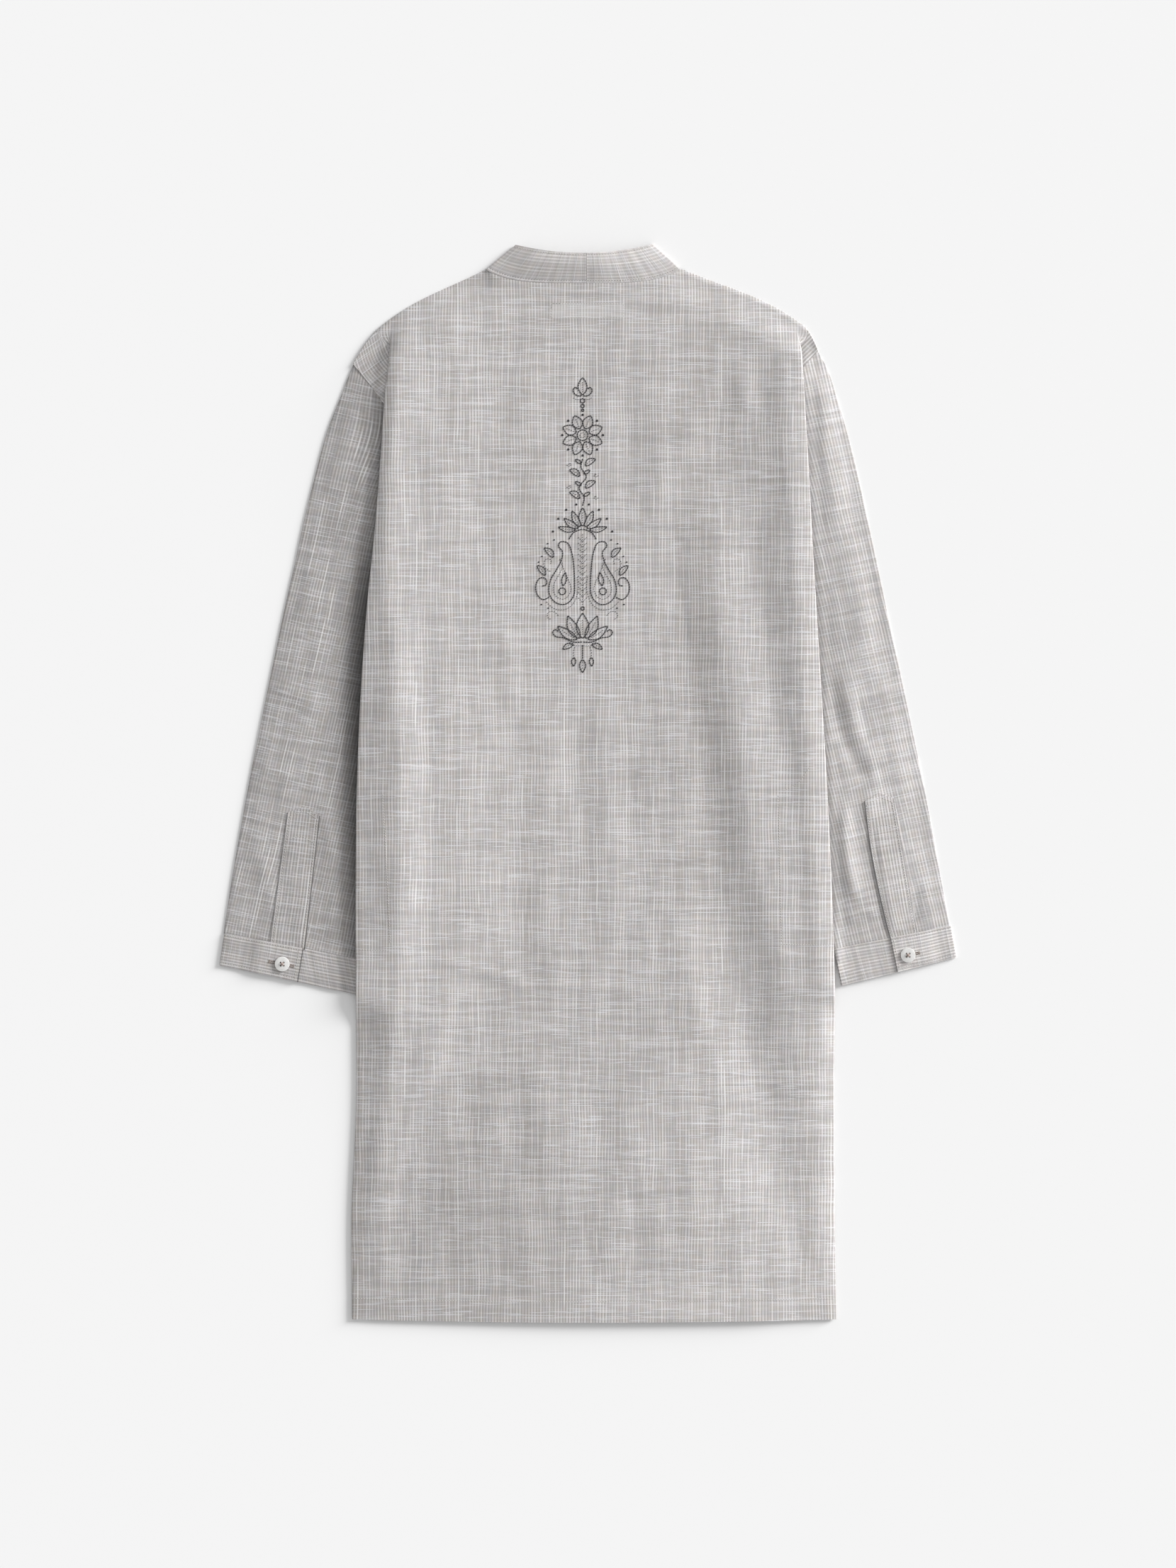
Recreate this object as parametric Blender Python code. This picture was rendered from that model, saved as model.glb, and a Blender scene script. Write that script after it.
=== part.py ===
"""A kurta tunic laid flat on its face, built as the pieces it is cut and sewn from.

+X is the wearer's right, +Y points to the collar and +Z is up, away from the surface. The front
lies on the surface at z = 0 and the back covers it. Each side of the back and of the front is
turned in between them, and the sleeves leave from between the two turned-in sides. Sizes are in
millimetres, and `put_mesh` turns them into metres.
"""

import math
from collections import namedtuple

import bpy
import bmesh
import numpy as np

MM = 0.001
CLOTH = 1.0          # thickness of a ply
PITCH = 1.45         # from the middle of one ply to the middle of the next
SEAM = 0.3           # space left between two pieces at a seam
ARMHOLE_SEAM = 0.7   # the same at the curved armholes

# Plies in the turned-in sides, counted up from the surface.
FRONT, FRONT_TURN, SLEEVE_UNDER, SLEEVE_OVER, BACK_TURN, POCKET, BACK = range(7)
LOW_BACK_TURN, LOW_BACK = 2, 3          # the same two plies below the cuffs
CENTRE_BACK = 2                         # the back between the two sides

APEX_Y = 434.5       # where the side fold meets the shoulder
UNDERARM_Y = 222.0
HEM_Y = -507.0
HEM_DIP = 2.9        # the hem sinks a little between its corners

# The side folds and how deep each side is turned in, from the shoulder to the hem.
Side = namedtuple("Side", "y left right left_turn right_turn")
BODY = (
    Side(434.5, -192.0, 200.7, 0.0, 0.0),
    Side(412.0, -188.2, 202.0, 8.0, 9.0),
    Side(366.0, -192.1, 204.6, 26.0, 28.0),
    Side(309.0, -196.0, 208.0, 48.0, 51.0),
    Side(222.0, -203.3, 212.5, 81.0, 86.0),
    Side(190.0, -206.8, 214.4, 83.0, 90.0),
    Side(97.0, -214.1, 220.0, 71.0, 86.0),
    Side(-10.0, -218.6, 226.3, 60.0, 78.0),
    Side(-99.0, -219.6, 230.3, 52.0, 71.0),
    Side(-200.0, -219.4, 233.3, 44.0, 62.0),
    Side(-290.0, -218.8, 232.6, 34.0, 44.0),
    Side(-420.0, -223.8, 233.5, 19.0, 22.0),
    Side(-507.0, -222.8, 234.8, 15.0, 15.0),
)

# The outer and inner long edges of the sleeves.
Sleeve = namedtuple("Sleeve", "y left_outer left_inner right_outer right_inner")
SLEEVES = (
    Sleeve(409.0, -216.5, -124.3, 217.4, 128.5),
    Sleeve(396.0, -222.1, -124.3, 224.6, 128.5),
    Sleeve(365.0, -234.2, -124.3, 235.5, 128.5),
    Sleeve(338.0, -244.9, -124.3, 243.5, 128.5),
    Sleeve(285.0, -259.6, -124.3, 256.9, 128.5),
    Sleeve(222.0, -274.4, -124.3, 270.4, 128.5),
    Sleeve(208.0, -277.2, -132.0, 273.4, 136.5),
    Sleeve(190.0, -281.4, -140.0, 277.2, 144.0),
    Sleeve(97.0, -301.2, -159.1, 297.1, 161.0),
    Sleeve(-10.0, -322.6, -177.6, 319.3, 187.3),
    Sleeve(-99.0, -338.2, -195.6, 335.6, 212.3),
    Sleeve(-170.0, -348.9, -214.2, 349.0, 234.6),
)

# The shoulder from the neck to the armhole, and the armhole down to the underarm.
Shoulder = namedtuple("Shoulder", "side neck apex bulge tip armhole_lead underarm underarm_lead")
SHOULDERS = {
    -1: Shoulder("left", (-97.5, 485.1), (-192.0, 434.5), 3.8, (-222.1, 396.0),
                 (-182.0, 352.0), (-124.3, 222.0), (-146.0, 282.0)),
    1: Shoulder("right", (88.1, 486.4), (200.7, 434.5), 4.9, (217.4, 408.7),
                (176.0, 366.0), (128.5, 222.0), (150.0, 282.0)),
}
WEDGE_BULGE = 4.5    # how far the shoulder rounds out beyond the side fold

NECK_Y = 485.7
NECK_CENTRE = -4.7
NECK_HALF = 92.8
BACK_NECK_DIP = 13.3
FRONT_NECK_DROP = 70.0
BAND = 28.0          # height of the collar
BAND_TIPS = ((-68.7, 509.2), (61.3, 509.9))
BAND_DIP = 8.8       # how far its upper edge sinks between the tips
BAND_LIFT = 0.4      # space between the collar and the neck edges
BAND_FOLD_GAP = 1.6  # the same beside the shoulder line

SLIT_HALF = 14.5     # half the width of the front's neck slit
SLIT_ANGLE = 81.01    # where its edges meet the neck, on the neck's ellipse
SLIT_END_Y = 85.0

STACK_EDGE = 10.0    # the back stays high this far past the turned-in edge
STACK_SLOPE = 46.0   # and then comes down over this width
LOW_FROM_Y, LOW_TO_Y = -206.0, -276.0   # where the sides drop to their lower height
RISE = 22.0          # from the shoulder edge to the full height of the back
NECK_RISE = 8.0      # the same along the back neck, from the shoulder line inwards
FOLD_FROM, FOLD_FULL = 10.0, 44.0       # where the pleat at the shoulder forms
FLAT_SPREAD = 9.0    # half the width that the pleat's cloth covers at the shoulder edge
LIFT_FLAT, LIFT_END = 12.0, 38.0        # the sleeve comes down to the surface beside the body
FRONT_INSET = 3.0    # the front's folds lie inside the back's
SEAM_BEND = 9.0      # the turned-in edges bend together over this width
SEAM_OPEN, SEAM_CLOSED = 10.0, 34.0     # the side seam closes between these depths below the underarm

Cuff = namedtuple("Cuff", "seam_outer seam_inner hem_outer hem_inner lap_seam lap_hem under button")
CUFFS = {
    -1: Cuff((-344.0, -141.4), (-213.4, -166.8), (-348.7, -172.2), (-213.4, -201.0),
             0.574, 0.550, 0.30, (-289.1, -170.9)),
    1: Cuff((343.4, -134.7), (232.2, -156.8), (348.8, -164.8), (239.5, -191.6),
            0.520, 0.517, 0.26, (302.5, -162.5)),
}
LAP_RISE = 0.16      # share of the cuff over which the lapped end comes up
LAP_CLEAR = 0.02     # share of the cuff that the hidden end stops short of it

Placket = namedtuple("Placket", "point outer_top outer_foot_x inner_top inner_foot_x inner_sag")
SLEEVE_PLACKETS = {
    -1: Placket((-267.7, -22.1), (-283.7, -27.5), -300.5, (-253.6, -31.2), -267.7, 0.0),
    1: Placket((275.0, -9.1), (289.1, -14.5), 311.9, (261.0, -17.4), 285.8, 3.0),
}

PLACKET_EASE = 0.2   # more room under the plackets, where the sleeve bends

BUTTON_RADIUS = 7.3
BUTTON_HEIGHT = 2.4
BUTTON_SIDES, BUTTON_HOLE_SIDES = 28, 10
BUTTON_HOLE = 0.95
BUTTON_HOLE_OFFSET = 1.5

LABEL_CENTRE = (-0.3, 446.6)
LABEL_SIZE = (71.0, 15.4)
POCKET_TOP_Y, POCKET_FOOT_Y = 14.0, -158.0
POCKET_OUTER, POCKET_INNER = 6.0, 8.0   # its distances inside the side fold and the turned-in edge
POCKET_TOP_SLOPE = 14.0

CLOTH_COLOUR = (0.48, 0.45, 0.43, 1.0)
LABEL_COLOUR = (0.72, 0.71, 0.69, 1.0)
POCKET_COLOUR = (0.55, 0.53, 0.51, 1.0)
BUTTON_COLOUR = (0.70, 0.69, 0.67, 1.0)


def clear_scene():
    for item in list(bpy.data.objects):
        bpy.data.objects.remove(item, do_unlink=True)


def level(ply):
    """Height of the middle of a ply that lies flat on those below it."""
    return CLOTH / 2 + PITCH * ply


def ease(value):
    """Smooth step from 0 to 1."""
    held = min(max(value, 0.0), 1.0)
    return held * held * (3.0 - 2.0 * held)


def mix(first, second, share):
    return first + (second - first) * share


def mix_points(first, second, share):
    return tuple(mix(a, b, share) for a, b in zip(first, second))


def read(table, column, y):
    """The value of a column at a height y, on a smooth curve through the table's rows."""
    ys = np.array([row.y for row in table])[::-1]
    values = np.array([getattr(row, column) for row in table])[::-1]
    slopes = np.gradient(values, ys)
    held = min(max(y, ys[0]), ys[-1])
    index = min(max(int(np.searchsorted(ys, held)) - 1, 0), len(ys) - 2)
    span = ys[index + 1] - ys[index]
    part = (held - ys[index]) / span
    start = values[index] * (1 + 2 * part) * (1 - part) ** 2
    end = values[index + 1] * (3 - 2 * part) * part ** 2
    bend = span * part * (1 - part) * (slopes[index] * (1 - part) - slopes[index + 1] * part)
    return float(start + end + bend)


def fold_x(side, y):
    return read(BODY, SHOULDERS[side].side, y)


def turn(side, y):
    """How deep the side is turned in."""
    return read(BODY, SHOULDERS[side].side + "_turn", y)


def outward(side, x, y):
    """Distance of a point outside the side fold."""
    return side * (x - fold_x(side, y))


def bezier(start, lead, end_lead, end, share):
    rest = 1.0 - share
    weights = (rest ** 3, 3 * rest * rest * share, 3 * rest * share * share, share ** 3)
    points = (start, lead, end_lead, end)
    return tuple(sum(w * p[axis] for w, p in zip(weights, points)) for axis in (0, 1))


def armhole(side, share):
    """A point of the armhole, from the shoulder at 0 to the underarm at 1."""
    row = SHOULDERS[side]
    return bezier(row.tip, row.armhole_lead, row.underarm_lead, row.underarm, share)


def shoulder_y(side, x):
    """The shoulder line from the neck to the side fold, and on towards the armhole."""
    row = SHOULDERS[side]
    share = (x - row.neck[0]) / (row.apex[0] - row.neck[0])
    if share > 1.0:
        beyond = (x - row.apex[0]) / (row.tip[0] - row.apex[0])
        bulge = WEDGE_BULGE * 4 * beyond * (1 - beyond)
        return mix(row.apex[1], row.tip[1], beyond) + bulge
    return mix(row.neck[1], row.apex[1], share) + row.bulge * 6.75 * share * share * (1 - share)


def neck_share(x):
    return min(abs(x - NECK_CENTRE) / NECK_HALF, 1.0)


def back_neck_y(x):
    return NECK_Y - BACK_NECK_DIP * (1 - neck_share(x) ** 4)


def front_neck_y(x):
    return NECK_Y - FRONT_NECK_DROP * math.sqrt(1 - neck_share(x) ** 2)


def side_of(x):
    return -1 if x < NECK_CENTRE else 1


def top_y(x, neck_y):
    if neck_share(x) < 1.0:
        return neck_y(x)
    return shoulder_y(side_of(x), x)


def hem_y(x):
    share = (x - BODY[-1].left) / (BODY[-1].right - BODY[-1].left)
    return HEM_Y - HEM_DIP * 4 * share * (1 - share)


def in_cuffs(y):
    """1 beside and above the cuffs, 0 where only the body's own sides are stacked."""
    return ease((y - LOW_TO_Y) / (LOW_FROM_Y - LOW_TO_Y))


def back_turn_level(y):
    return mix(level(LOW_BACK_TURN), level(BACK_TURN), in_cuffs(y))


def back_side_level(y):
    return mix(level(LOW_BACK), level(BACK), in_cuffs(y))


def back_height(x, y):
    """Middle of the back: high over the turned-in sides, low between them, thin at the shoulder."""
    left = x - fold_x(-1, y) - turn(-1, y)
    right = fold_x(1, y) - turn(1, y) - x
    stacked = 1 - ease((min(left, right) - STACK_EDGE) / STACK_SLOPE)
    full = mix(level(CENTRE_BACK), back_side_level(y), stacked)
    at_neck = ease((1.0 - neck_share(x)) * NECK_HALF / NECK_RISE)
    edge = mix(level(FRONT_TURN), level(CENTRE_BACK), at_neck)
    return mix(edge, full, ease((top_y(x, back_neck_y) - y) / RISE))


def front_height(x, y):
    return level(FRONT)


def sleeve_lift(x, y):
    """How far the sleeve is held off the surface by the body's turned-in front."""
    side = side_of(x)
    beside = 1 - ease((outward(side, x, y) - LIFT_FLAT) / (LIFT_END - LIFT_FLAT))
    near_shoulder = ease((APEX_Y - y) / RISE)
    return PITCH * SLEEVE_UNDER * beside * near_shoulder


Ply = namedtuple("Ply", "main turned wedge inset edge height neck_y")


def back_ply(y):
    return Ply(back_side_level(y), back_turn_level(y), level(SLEEVE_OVER), 0.0,
               level(FRONT_TURN), back_height, back_neck_y)


def front_ply(y):
    return Ply(level(FRONT), level(FRONT_TURN), level(SLEEVE_UNDER), FRONT_INSET,
               level(FRONT), front_height, front_neck_y)


BACK_NECK_SHARES = (-1.0, -0.8, -0.5, -0.17, 0.17, 0.5, 0.8, 1.0)
FRONT_NECK_ANGLES = (16.0, 32.0, 48.0, 64.0, SLIT_ANGLE)
ARC_STEPS = 3
TURN_STEPS = 3
WEDGE_STEPS = 5
UPPER_DROPS = (0.0, 6.0, 12.0, 18.0, 25.0, 34.0, 46.0, 64.0, 90.0, 124.0, 164.0, 209.0)
LOWER_DROPS = (222.0, 247.0, 349.5, 440.0, 520.0, 592.0, 640.5, 710.5, 820.0, 941.5)


def side_profile(side, drop, ply_at):
    """One section of the turned-in side at `drop` below the shoulder.

    It runs from the main panel round the side fold and, above the underarm, back round the
    second fold. Each entry is (label, x, y, z).
    """
    y = APEX_Y - drop
    ply = ply_at(y)
    upper = drop <= UPPER_DROPS[-1]
    rise = ease(drop / RISE)
    main, turned, wedge = (mix(ply.edge, height, rise) for height in ply[:3])
    radius = abs(main - turned) / 2
    second = abs(turned - wedge) / 2
    down = math.copysign(1.0, turned - main)
    depth = turn(side, y)
    start = -ply.inset - CLOTH / 2 - radius
    end = -depth + CLOTH / 2 + second if upper else -depth
    profile = []
    for step in range(1, ARC_STEPS + 1):
        angle = math.pi * step / ARC_STEPS
        name = ("turn", 0) if step == ARC_STEPS else ("fold", step)
        profile.append((name, start + radius * math.sin(angle),
                        main + down * radius * (1 - math.cos(angle))))
    bent = ease((UNDERARM_Y - SEAM_OPEN - y) / (SEAM_CLOSED - SEAM_OPEN))
    middle = (back_turn_level(y) + level(FRONT_TURN)) / 2
    seam_height = mix(turned, middle - down * PITCH / 2, bent)
    for step in range(1, TURN_STEPS + 1):
        share = step / TURN_STEPS
        reach = mix(start, end, share)
        height = turned
        if not upper:
            reach = (mix(start, end, 0.5), end + SEAM_BEND, end)[step - 1]
            height = seam_height if step == TURN_STEPS else turned
        profile.append((("turn", step), reach, height))
    if upper:
        for step in range(1, ARC_STEPS + 1):
            angle = math.pi * step / ARC_STEPS
            name = ("wedge", 0) if step == ARC_STEPS else ("pleat", step)
            profile.append((name, end - second * math.sin(angle),
                            turned + down * second * (1 - math.cos(angle))))
    profile.insert(0, (("main", 0), start, main))
    formed = ease((drop - FOLD_FROM) / (FOLD_FULL - FOLD_FROM))
    section = []
    for index, (name, reach, height) in enumerate(profile):
        share = index / (len(profile) - 1)
        flat = mix(-FLAT_SPREAD, FLAT_SPREAD, share)
        height = mix(mix(main, wedge, share), height, formed)
        if not upper:
            flat = reach
        x = fold_x(side, y) + side * mix(flat, reach, formed)
        flat_y = shoulder_y(side, SHOULDERS[side].apex[0] + side * flat) - drop
        section.append((name, x, mix(flat_y, y, formed), height))
    return section


def wedge_row(side, drop, foot):
    """The cloth outside the pleat, from its fold `foot` to the armhole."""
    share = drop / (APEX_Y - UNDERARM_Y)
    rim = armhole(side, share)
    row = SHOULDERS[side]
    first_x = row.apex[0] + side * FLAT_SPREAD
    last_x = row.tip[0]
    points = []
    for step in range(1, WEDGE_STEPS + 1):
        part = step / WEDGE_STEPS
        x, y = mix_points(foot[:2], rim, part)
        line = mix(first_x, last_x, part)
        straight = mix(shoulder_y(side, first_x), row.tip[1], part)
        y += (shoulder_y(side, line) - straight) * (1 - share) ** 3
        points.append((x, y))
    inner, outer = points[-2], points[-1]
    span = math.dist(inner, outer)
    points[-1] = mix_points(outer, inner, ARMHOLE_SEAM / 2 / span)
    return points


def main_shares(neck_steps, shoulder_steps):
    """Where the long rows of the main panel stand across it, as shares from fold to fold."""
    left, right = SHOULDERS[-1], SHOULDERS[1]
    xs = [mix(left.apex[0], left.neck[0], step / shoulder_steps) for step in range(shoulder_steps)]
    xs += [NECK_CENTRE + NECK_HALF * share for share in neck_steps]
    xs += [mix(right.neck[0], right.apex[0], (step + 1) / shoulder_steps)
           for step in range(shoulder_steps)]
    return [(x - left.apex[0]) / (right.apex[0] - left.apex[0]) for x in xs]


def panel(ply_at, shares, drops, skip=None):
    """The vertices and faces of the back or the front, sides turned in.

    `skip` tells which faces are left out.
    """
    rows = []
    for drop in drops:
        y = APEX_Y - drop
        ply = ply_at(y)
        upper = drop <= UPPER_DROPS[-1]
        sides = {side: side_profile(side, drop, ply_at) for side in (-1, 1)}
        wedges = {-1: [], 1: []}
        if upper:
            for side in (-1, 1):
                foot = sides[side][-1]
                base = ply.edge
                for step, (x, wy) in enumerate(wedge_row(side, drop, foot[1:]), 1):
                    height = base + sleeve_lift(x, wy) * ease(drop / RISE)
                    wedges[side].append((("wedge", step), x, wy, height))
        row = [((-1,) + name, point) for name, *point in reversed(sides[-1] + wedges[-1])]
        row.pop()
        left, right = sides[-1][0], sides[1][0]
        down = drop / (APEX_Y - HEM_Y)
        for column, share in enumerate(shares):
            ends_x = mix(SHOULDERS[-1].apex[0], SHOULDERS[1].apex[0], share)
            x = mix(fold_x(-1, y), fold_x(1, y), share)
            my = mix(top_y(ends_x, ply.neck_y), hem_y(x), down)
            point = [x, my, ply.height(x, my)]
            if column == 0:
                point = list(left[1:])
            if column == len(shares) - 1:
                point = list(right[1:])
            row.append(((0, "main", column), point))
        row += [((1,) + name, point) for name, *point in sides[1][1:] + wedges[1]]
        rows.append(row)
    return join_rows(rows, skip)


def join_rows(rows, skip=None):
    """Joins rows of (label, point) with faces wherever two labels are neighbours in both."""
    vertices = []
    places = []
    for row in rows:
        place = {}
        for name, point in row:
            place[name] = len(vertices)
            vertices.append(tuple(point))
        places.append(place)
    faces = []
    for number in range(len(rows) - 1):
        upper, lower = places[number], places[number + 1]
        names = [name for name, _ in rows[number]]
        below = [name for name, _ in rows[number + 1]]
        followers = set(zip(below, below[1:]))
        for first, second in zip(names, names[1:]):
            if (first, second) in followers and not (skip and skip(number, first, second)):
                faces.append((upper[first], lower[first], lower[second], upper[second]))
    return vertices, faces


def material(name, colour, roughness):
    made = bpy.data.materials.new(name)
    made.use_nodes = True
    shader = made.node_tree.nodes["Principled BSDF"]
    shader.inputs["Base Color"].default_value = colour
    shader.inputs["Roughness"].default_value = roughness
    shader.inputs["Metallic"].default_value = 0.0
    return made


def put_mesh(name, vertices, faces, finish):
    mesh = bpy.data.meshes.new(name)
    mesh.from_pydata([tuple(MM * value for value in vertex) for vertex in vertices], [], faces)
    made = bpy.data.objects.new(name, mesh)
    bpy.context.scene.collection.objects.link(made)
    mesh.materials.append(finish)
    mesh.shade_smooth()
    mesh.set_sharp_from_angle(angle=math.radians(50))
    return made


def cloth(name, vertices, faces, colour=CLOTH_COLOUR):
    """A piece of cloth: its middle surface, thickened to both sides."""
    used = sorted({corner for face in faces for corner in face})
    place = {corner: number for number, corner in enumerate(used)}
    middle = np.array([vertices[corner] for corner in used])
    faces = [tuple(place[corner] for corner in face) for face in faces]
    normals = [[] for _ in used]
    edges = set()
    for face in faces:
        a, b, c, d = middle[list(face)]
        normal = np.cross(c - a, d - b)
        for corner in face:
            normals[corner].append(normal / np.linalg.norm(normal))
        for first, second in zip(face, face[1:] + face[:1]):
            edges.add((first, second))
    # Each vertex moves so that every face round it moves out by half the wall.
    reach = np.array([np.linalg.lstsq(np.array(rows), np.full(len(rows), CLOTH / 2), rcond=0.05)[0]
                      for rows in normals])
    count = len(middle)
    shell = [tuple(face) for face in faces]
    shell += [tuple(count + corner for corner in reversed(face)) for face in faces]
    shell += [(second, first, count + first, count + second)
              for first, second in sorted(edges) if (second, first) not in edges]
    points = np.vstack([middle + reach, middle - reach])
    return put_mesh(name, points.tolist(), shell, material(name, colour, 0.9))


def make_back():
    vertices, faces = panel(back_ply, main_shares(BACK_NECK_SHARES, 4), UPPER_DROPS + LOWER_DROPS)
    cloth("body_back", vertices, faces)


def make_front():
    half = [math.cos(math.radians(angle)) for angle in (0.0,) + FRONT_NECK_ANGLES]
    shares = main_shares([-share for share in half] + half[::-1], 3)
    first = len(half) + 2
    drops = UPPER_DROPS + LOWER_DROPS
    slit_rows = drops.index(APEX_Y - SLIT_END_Y)

    def in_slit(number, label, _):
        return label == (0, "main", first) and number < slit_rows

    vertices, faces = panel(front_ply, shares, drops, in_slit)
    cloth("body_front", vertices, faces)


def make_front_placket():
    """The strip that fills the neck slit, in the plane of the front."""
    edges = (NECK_CENTRE - SLIT_HALF, NECK_CENTRE + SLIT_HALF)
    first, last = SHOULDERS[-1].apex[0], SHOULDERS[1].apex[0]
    rows = []
    for drop in [d for d in UPPER_DROPS + LOWER_DROPS if d <= APEX_Y - SLIT_END_Y]:
        y = APEX_Y - drop
        down = drop / (APEX_Y - HEM_Y)
        lowest = SEAM if drop == APEX_Y - SLIT_END_Y else 0.0
        row = []
        for column, (edge, gap) in enumerate(((edges[0], SEAM), (edges[1], -SEAM))):
            share = (edge - first) / (last - first)
            x = mix(fold_x(-1, y), fold_x(1, y), share)
            edge_y = mix(front_neck_y(edge), hem_y(x), down)
            row.append((column, (x + gap, edge_y + lowest, level(FRONT))))
        rows.append(row)
    cloth("front_placket", *join_rows(rows))


def tube_rows(side, row_shares, column_steps):
    """Rings of a sleeve from armhole to cuff: over ply, outer fold, under ply, inner fold."""
    cuff = CUFFS[side]
    tip, underarm = armhole(side, 0.0), armhole(side, 1.0)
    end_outer, end_inner = cuff.seam_outer, cuff.seam_inner
    names = SHOULDERS[side].side
    rows = []
    for down in row_shares:
        outer_y = mix(tip[1], end_outer[1], down)
        inner_y = mix(underarm[1], end_inner[1], down)
        outer = (read(SLEEVES, names + "_outer", outer_y), outer_y)
        inner = (read(SLEEVES, names + "_inner", inner_y), inner_y)
        line = []
        for step in range(column_steps + 1):
            across = step / column_steps
            top = armhole(side, 1 - across)
            foot = mix_points(end_inner, end_outer, across)
            sides_part = mix_points(inner, outer, across)
            ends_part = mix_points(top, foot, down)
            corners = mix_points(mix_points(underarm, tip, across), foot, down)
            line.append(tuple(sides_part[a] + ends_part[a] - corners[a] for a in (0, 1)))
        rows.append(line)
    return shorten(shorten(rows, 0, ARMHOLE_SEAM / 2), -1, SEAM / 2)


def shorten(rows, edge, amount):
    """Draws the first row (0) or the last (-1) back from the seam it meets."""
    inner = rows[1 if edge == 0 else -2]
    rows[edge] = [mix_points(a, b, amount / math.dist(a, b)) for a, b in zip(rows[edge], inner)]
    return rows


def ring(line, under_height, over_height):
    """A flattened ring of cloth over a line of points, closed by a round fold at each end."""
    radius = (over_height(*line[0]) - under_height(*line[0])) / 2
    inset = CLOTH / 2 + radius
    ends = []
    for end, neighbour in ((0, 1), (-1, -2)):
        span = math.dist(line[end], line[neighbour])
        ends.append((mix_points(line[end], line[neighbour], inset / span),
                     mix_points(line[end], line[neighbour], CLOTH / 2 / span)))
    held = [ends[0][0]] + list(line[1:-1]) + [ends[1][0]]
    over = [(x, y, over_height(x, y)) for x, y in held]
    under = [(x, y, under_height(x, y)) for x, y in reversed(held)]
    outer_nose = ends[1][1] + ((over[-1][2] + under[0][2]) / 2,)
    inner_nose = ends[0][1] + ((over[0][2] + under[-1][2]) / 2,)
    return over + [outer_nose] + under + [inner_nose]


def join_rings(rings):
    vertices = [point for loop in rings for point in loop]
    count = len(rings[0])
    faces = []
    for number in range(len(rings) - 1):
        for step in range(count):
            following = (step + 1) % count
            faces.append((number * count + step, (number + 1) * count + step,
                          (number + 1) * count + following, number * count + following))
    return vertices, faces


SLEEVE_ROW_SHARES = (0.0, 0.04, 0.1, 0.18, 0.28, 0.39, 0.5, 0.61, 0.72, 0.82, 0.91, 1.0)
SLEEVE_COLUMNS = 10


def under_height(x, y):
    return level(0) + sleeve_lift(x, y)


def over_height(x, y):
    return level(1) + sleeve_lift(x, y)


def make_sleeve(side):
    rings = [ring(line, under_height, over_height)
             for line in tube_rows(side, SLEEVE_ROW_SHARES, SLEEVE_COLUMNS)]
    vertices, faces = join_rings(rings)
    if side > 0:
        faces = [face[::-1] for face in faces]
    cloth("sleeve_" + SHOULDERS[side].side, vertices, faces)


STRIP_ROWS = 5
CUFF_TOP_STEPS = 7
CUFF_UNDER_STEPS = 9
CUFF_ROWS = 2


def make_cuff(side):
    """A strip round the sleeve's end: lapped end, outer fold, under ply, inner fold, hidden end."""
    cuff = CUFFS[side]
    rows = []
    for number in range(CUFF_ROWS + 1):
        down = number / CUFF_ROWS
        outer = mix_points(cuff.seam_outer, cuff.hem_outer, down)
        inner = mix_points(cuff.seam_inner, cuff.hem_inner, down)
        if number == 0:
            drop = SEAM / 2 / math.dist(cuff.seam_outer, cuff.hem_outer)
            outer = mix_points(cuff.seam_outer, cuff.hem_outer, drop)
            inner = mix_points(cuff.seam_inner, cuff.hem_inner, drop)
        length = math.dist(outer, inner)
        radius = PITCH / 2
        inset = (CLOTH / 2 + radius) / length
        nose = CLOTH / 2 / length
        lap = mix(cuff.lap_seam, cuff.lap_hem, down)
        strip = []
        for step in range(CUFF_TOP_STEPS + 1):
            part = mix(lap, inset, step / CUFF_TOP_STEPS)
            raised = ease((part - cuff.under + LAP_RISE) / LAP_RISE)
            strip.append((part, level(1) + PITCH * raised))
        strip.append((nose, level(0) + radius))
        for step in range(CUFF_UNDER_STEPS + 1):
            strip.append((mix(inset, 1 - inset, step / CUFF_UNDER_STEPS), level(0)))
        strip.append((1 - nose, level(0) + radius))
        for step in range(CUFF_TOP_STEPS + 1):
            strip.append((mix(1 - inset, cuff.under + LAP_CLEAR, step / CUFF_TOP_STEPS), level(1)))
        row = []
        for place, (part, height) in enumerate(strip):
            x, y = mix_points(outer, inner, part)
            row.append((place, (x, y, height + sleeve_lift(x, y))))
        rows.append(row)
    vertices, faces = join_rows(rows)
    cloth("cuff_" + SHOULDERS[side].side, vertices, faces)


def on_cuff_seam(side, x):
    """The point of the cuff seam at x, a little up the sleeve."""
    outer, inner = CUFFS[side].seam_outer, CUFFS[side].seam_inner
    return x, mix(outer[1], inner[1], (x - outer[0]) / (inner[0] - outer[0])) + 2 * SEAM


def make_sleeve_placket(side):
    """A pointed strip on the sleeve, sewn down to the cuff seam."""
    row = SLEEVE_PLACKETS[side]
    rows = []
    steps = STRIP_ROWS
    outer_foot, inner_foot = on_cuff_seam(side, row.outer_foot_x), on_cuff_seam(side, row.inner_foot_x)
    for step in range(steps + 1):
        down = step / steps
        sag = row.inner_sag * 4 * down * (1 - down)
        outer = mix_points(row.outer_top, outer_foot, down)
        inner = mix_points(row.inner_top, inner_foot, down)
        inner = (inner[0] - sag, inner[1])
        middle = mix_points(outer, inner, 0.5)
        if step == 0:
            middle = row.point
        points = [(x, y, over_height(x, y) + PITCH + PLACKET_EASE) for x, y in (outer, middle, inner)]
        rows.append(list(enumerate(points)))
    cloth("sleeve_placket_" + SHOULDERS[side].side, *join_rows(rows))


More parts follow.
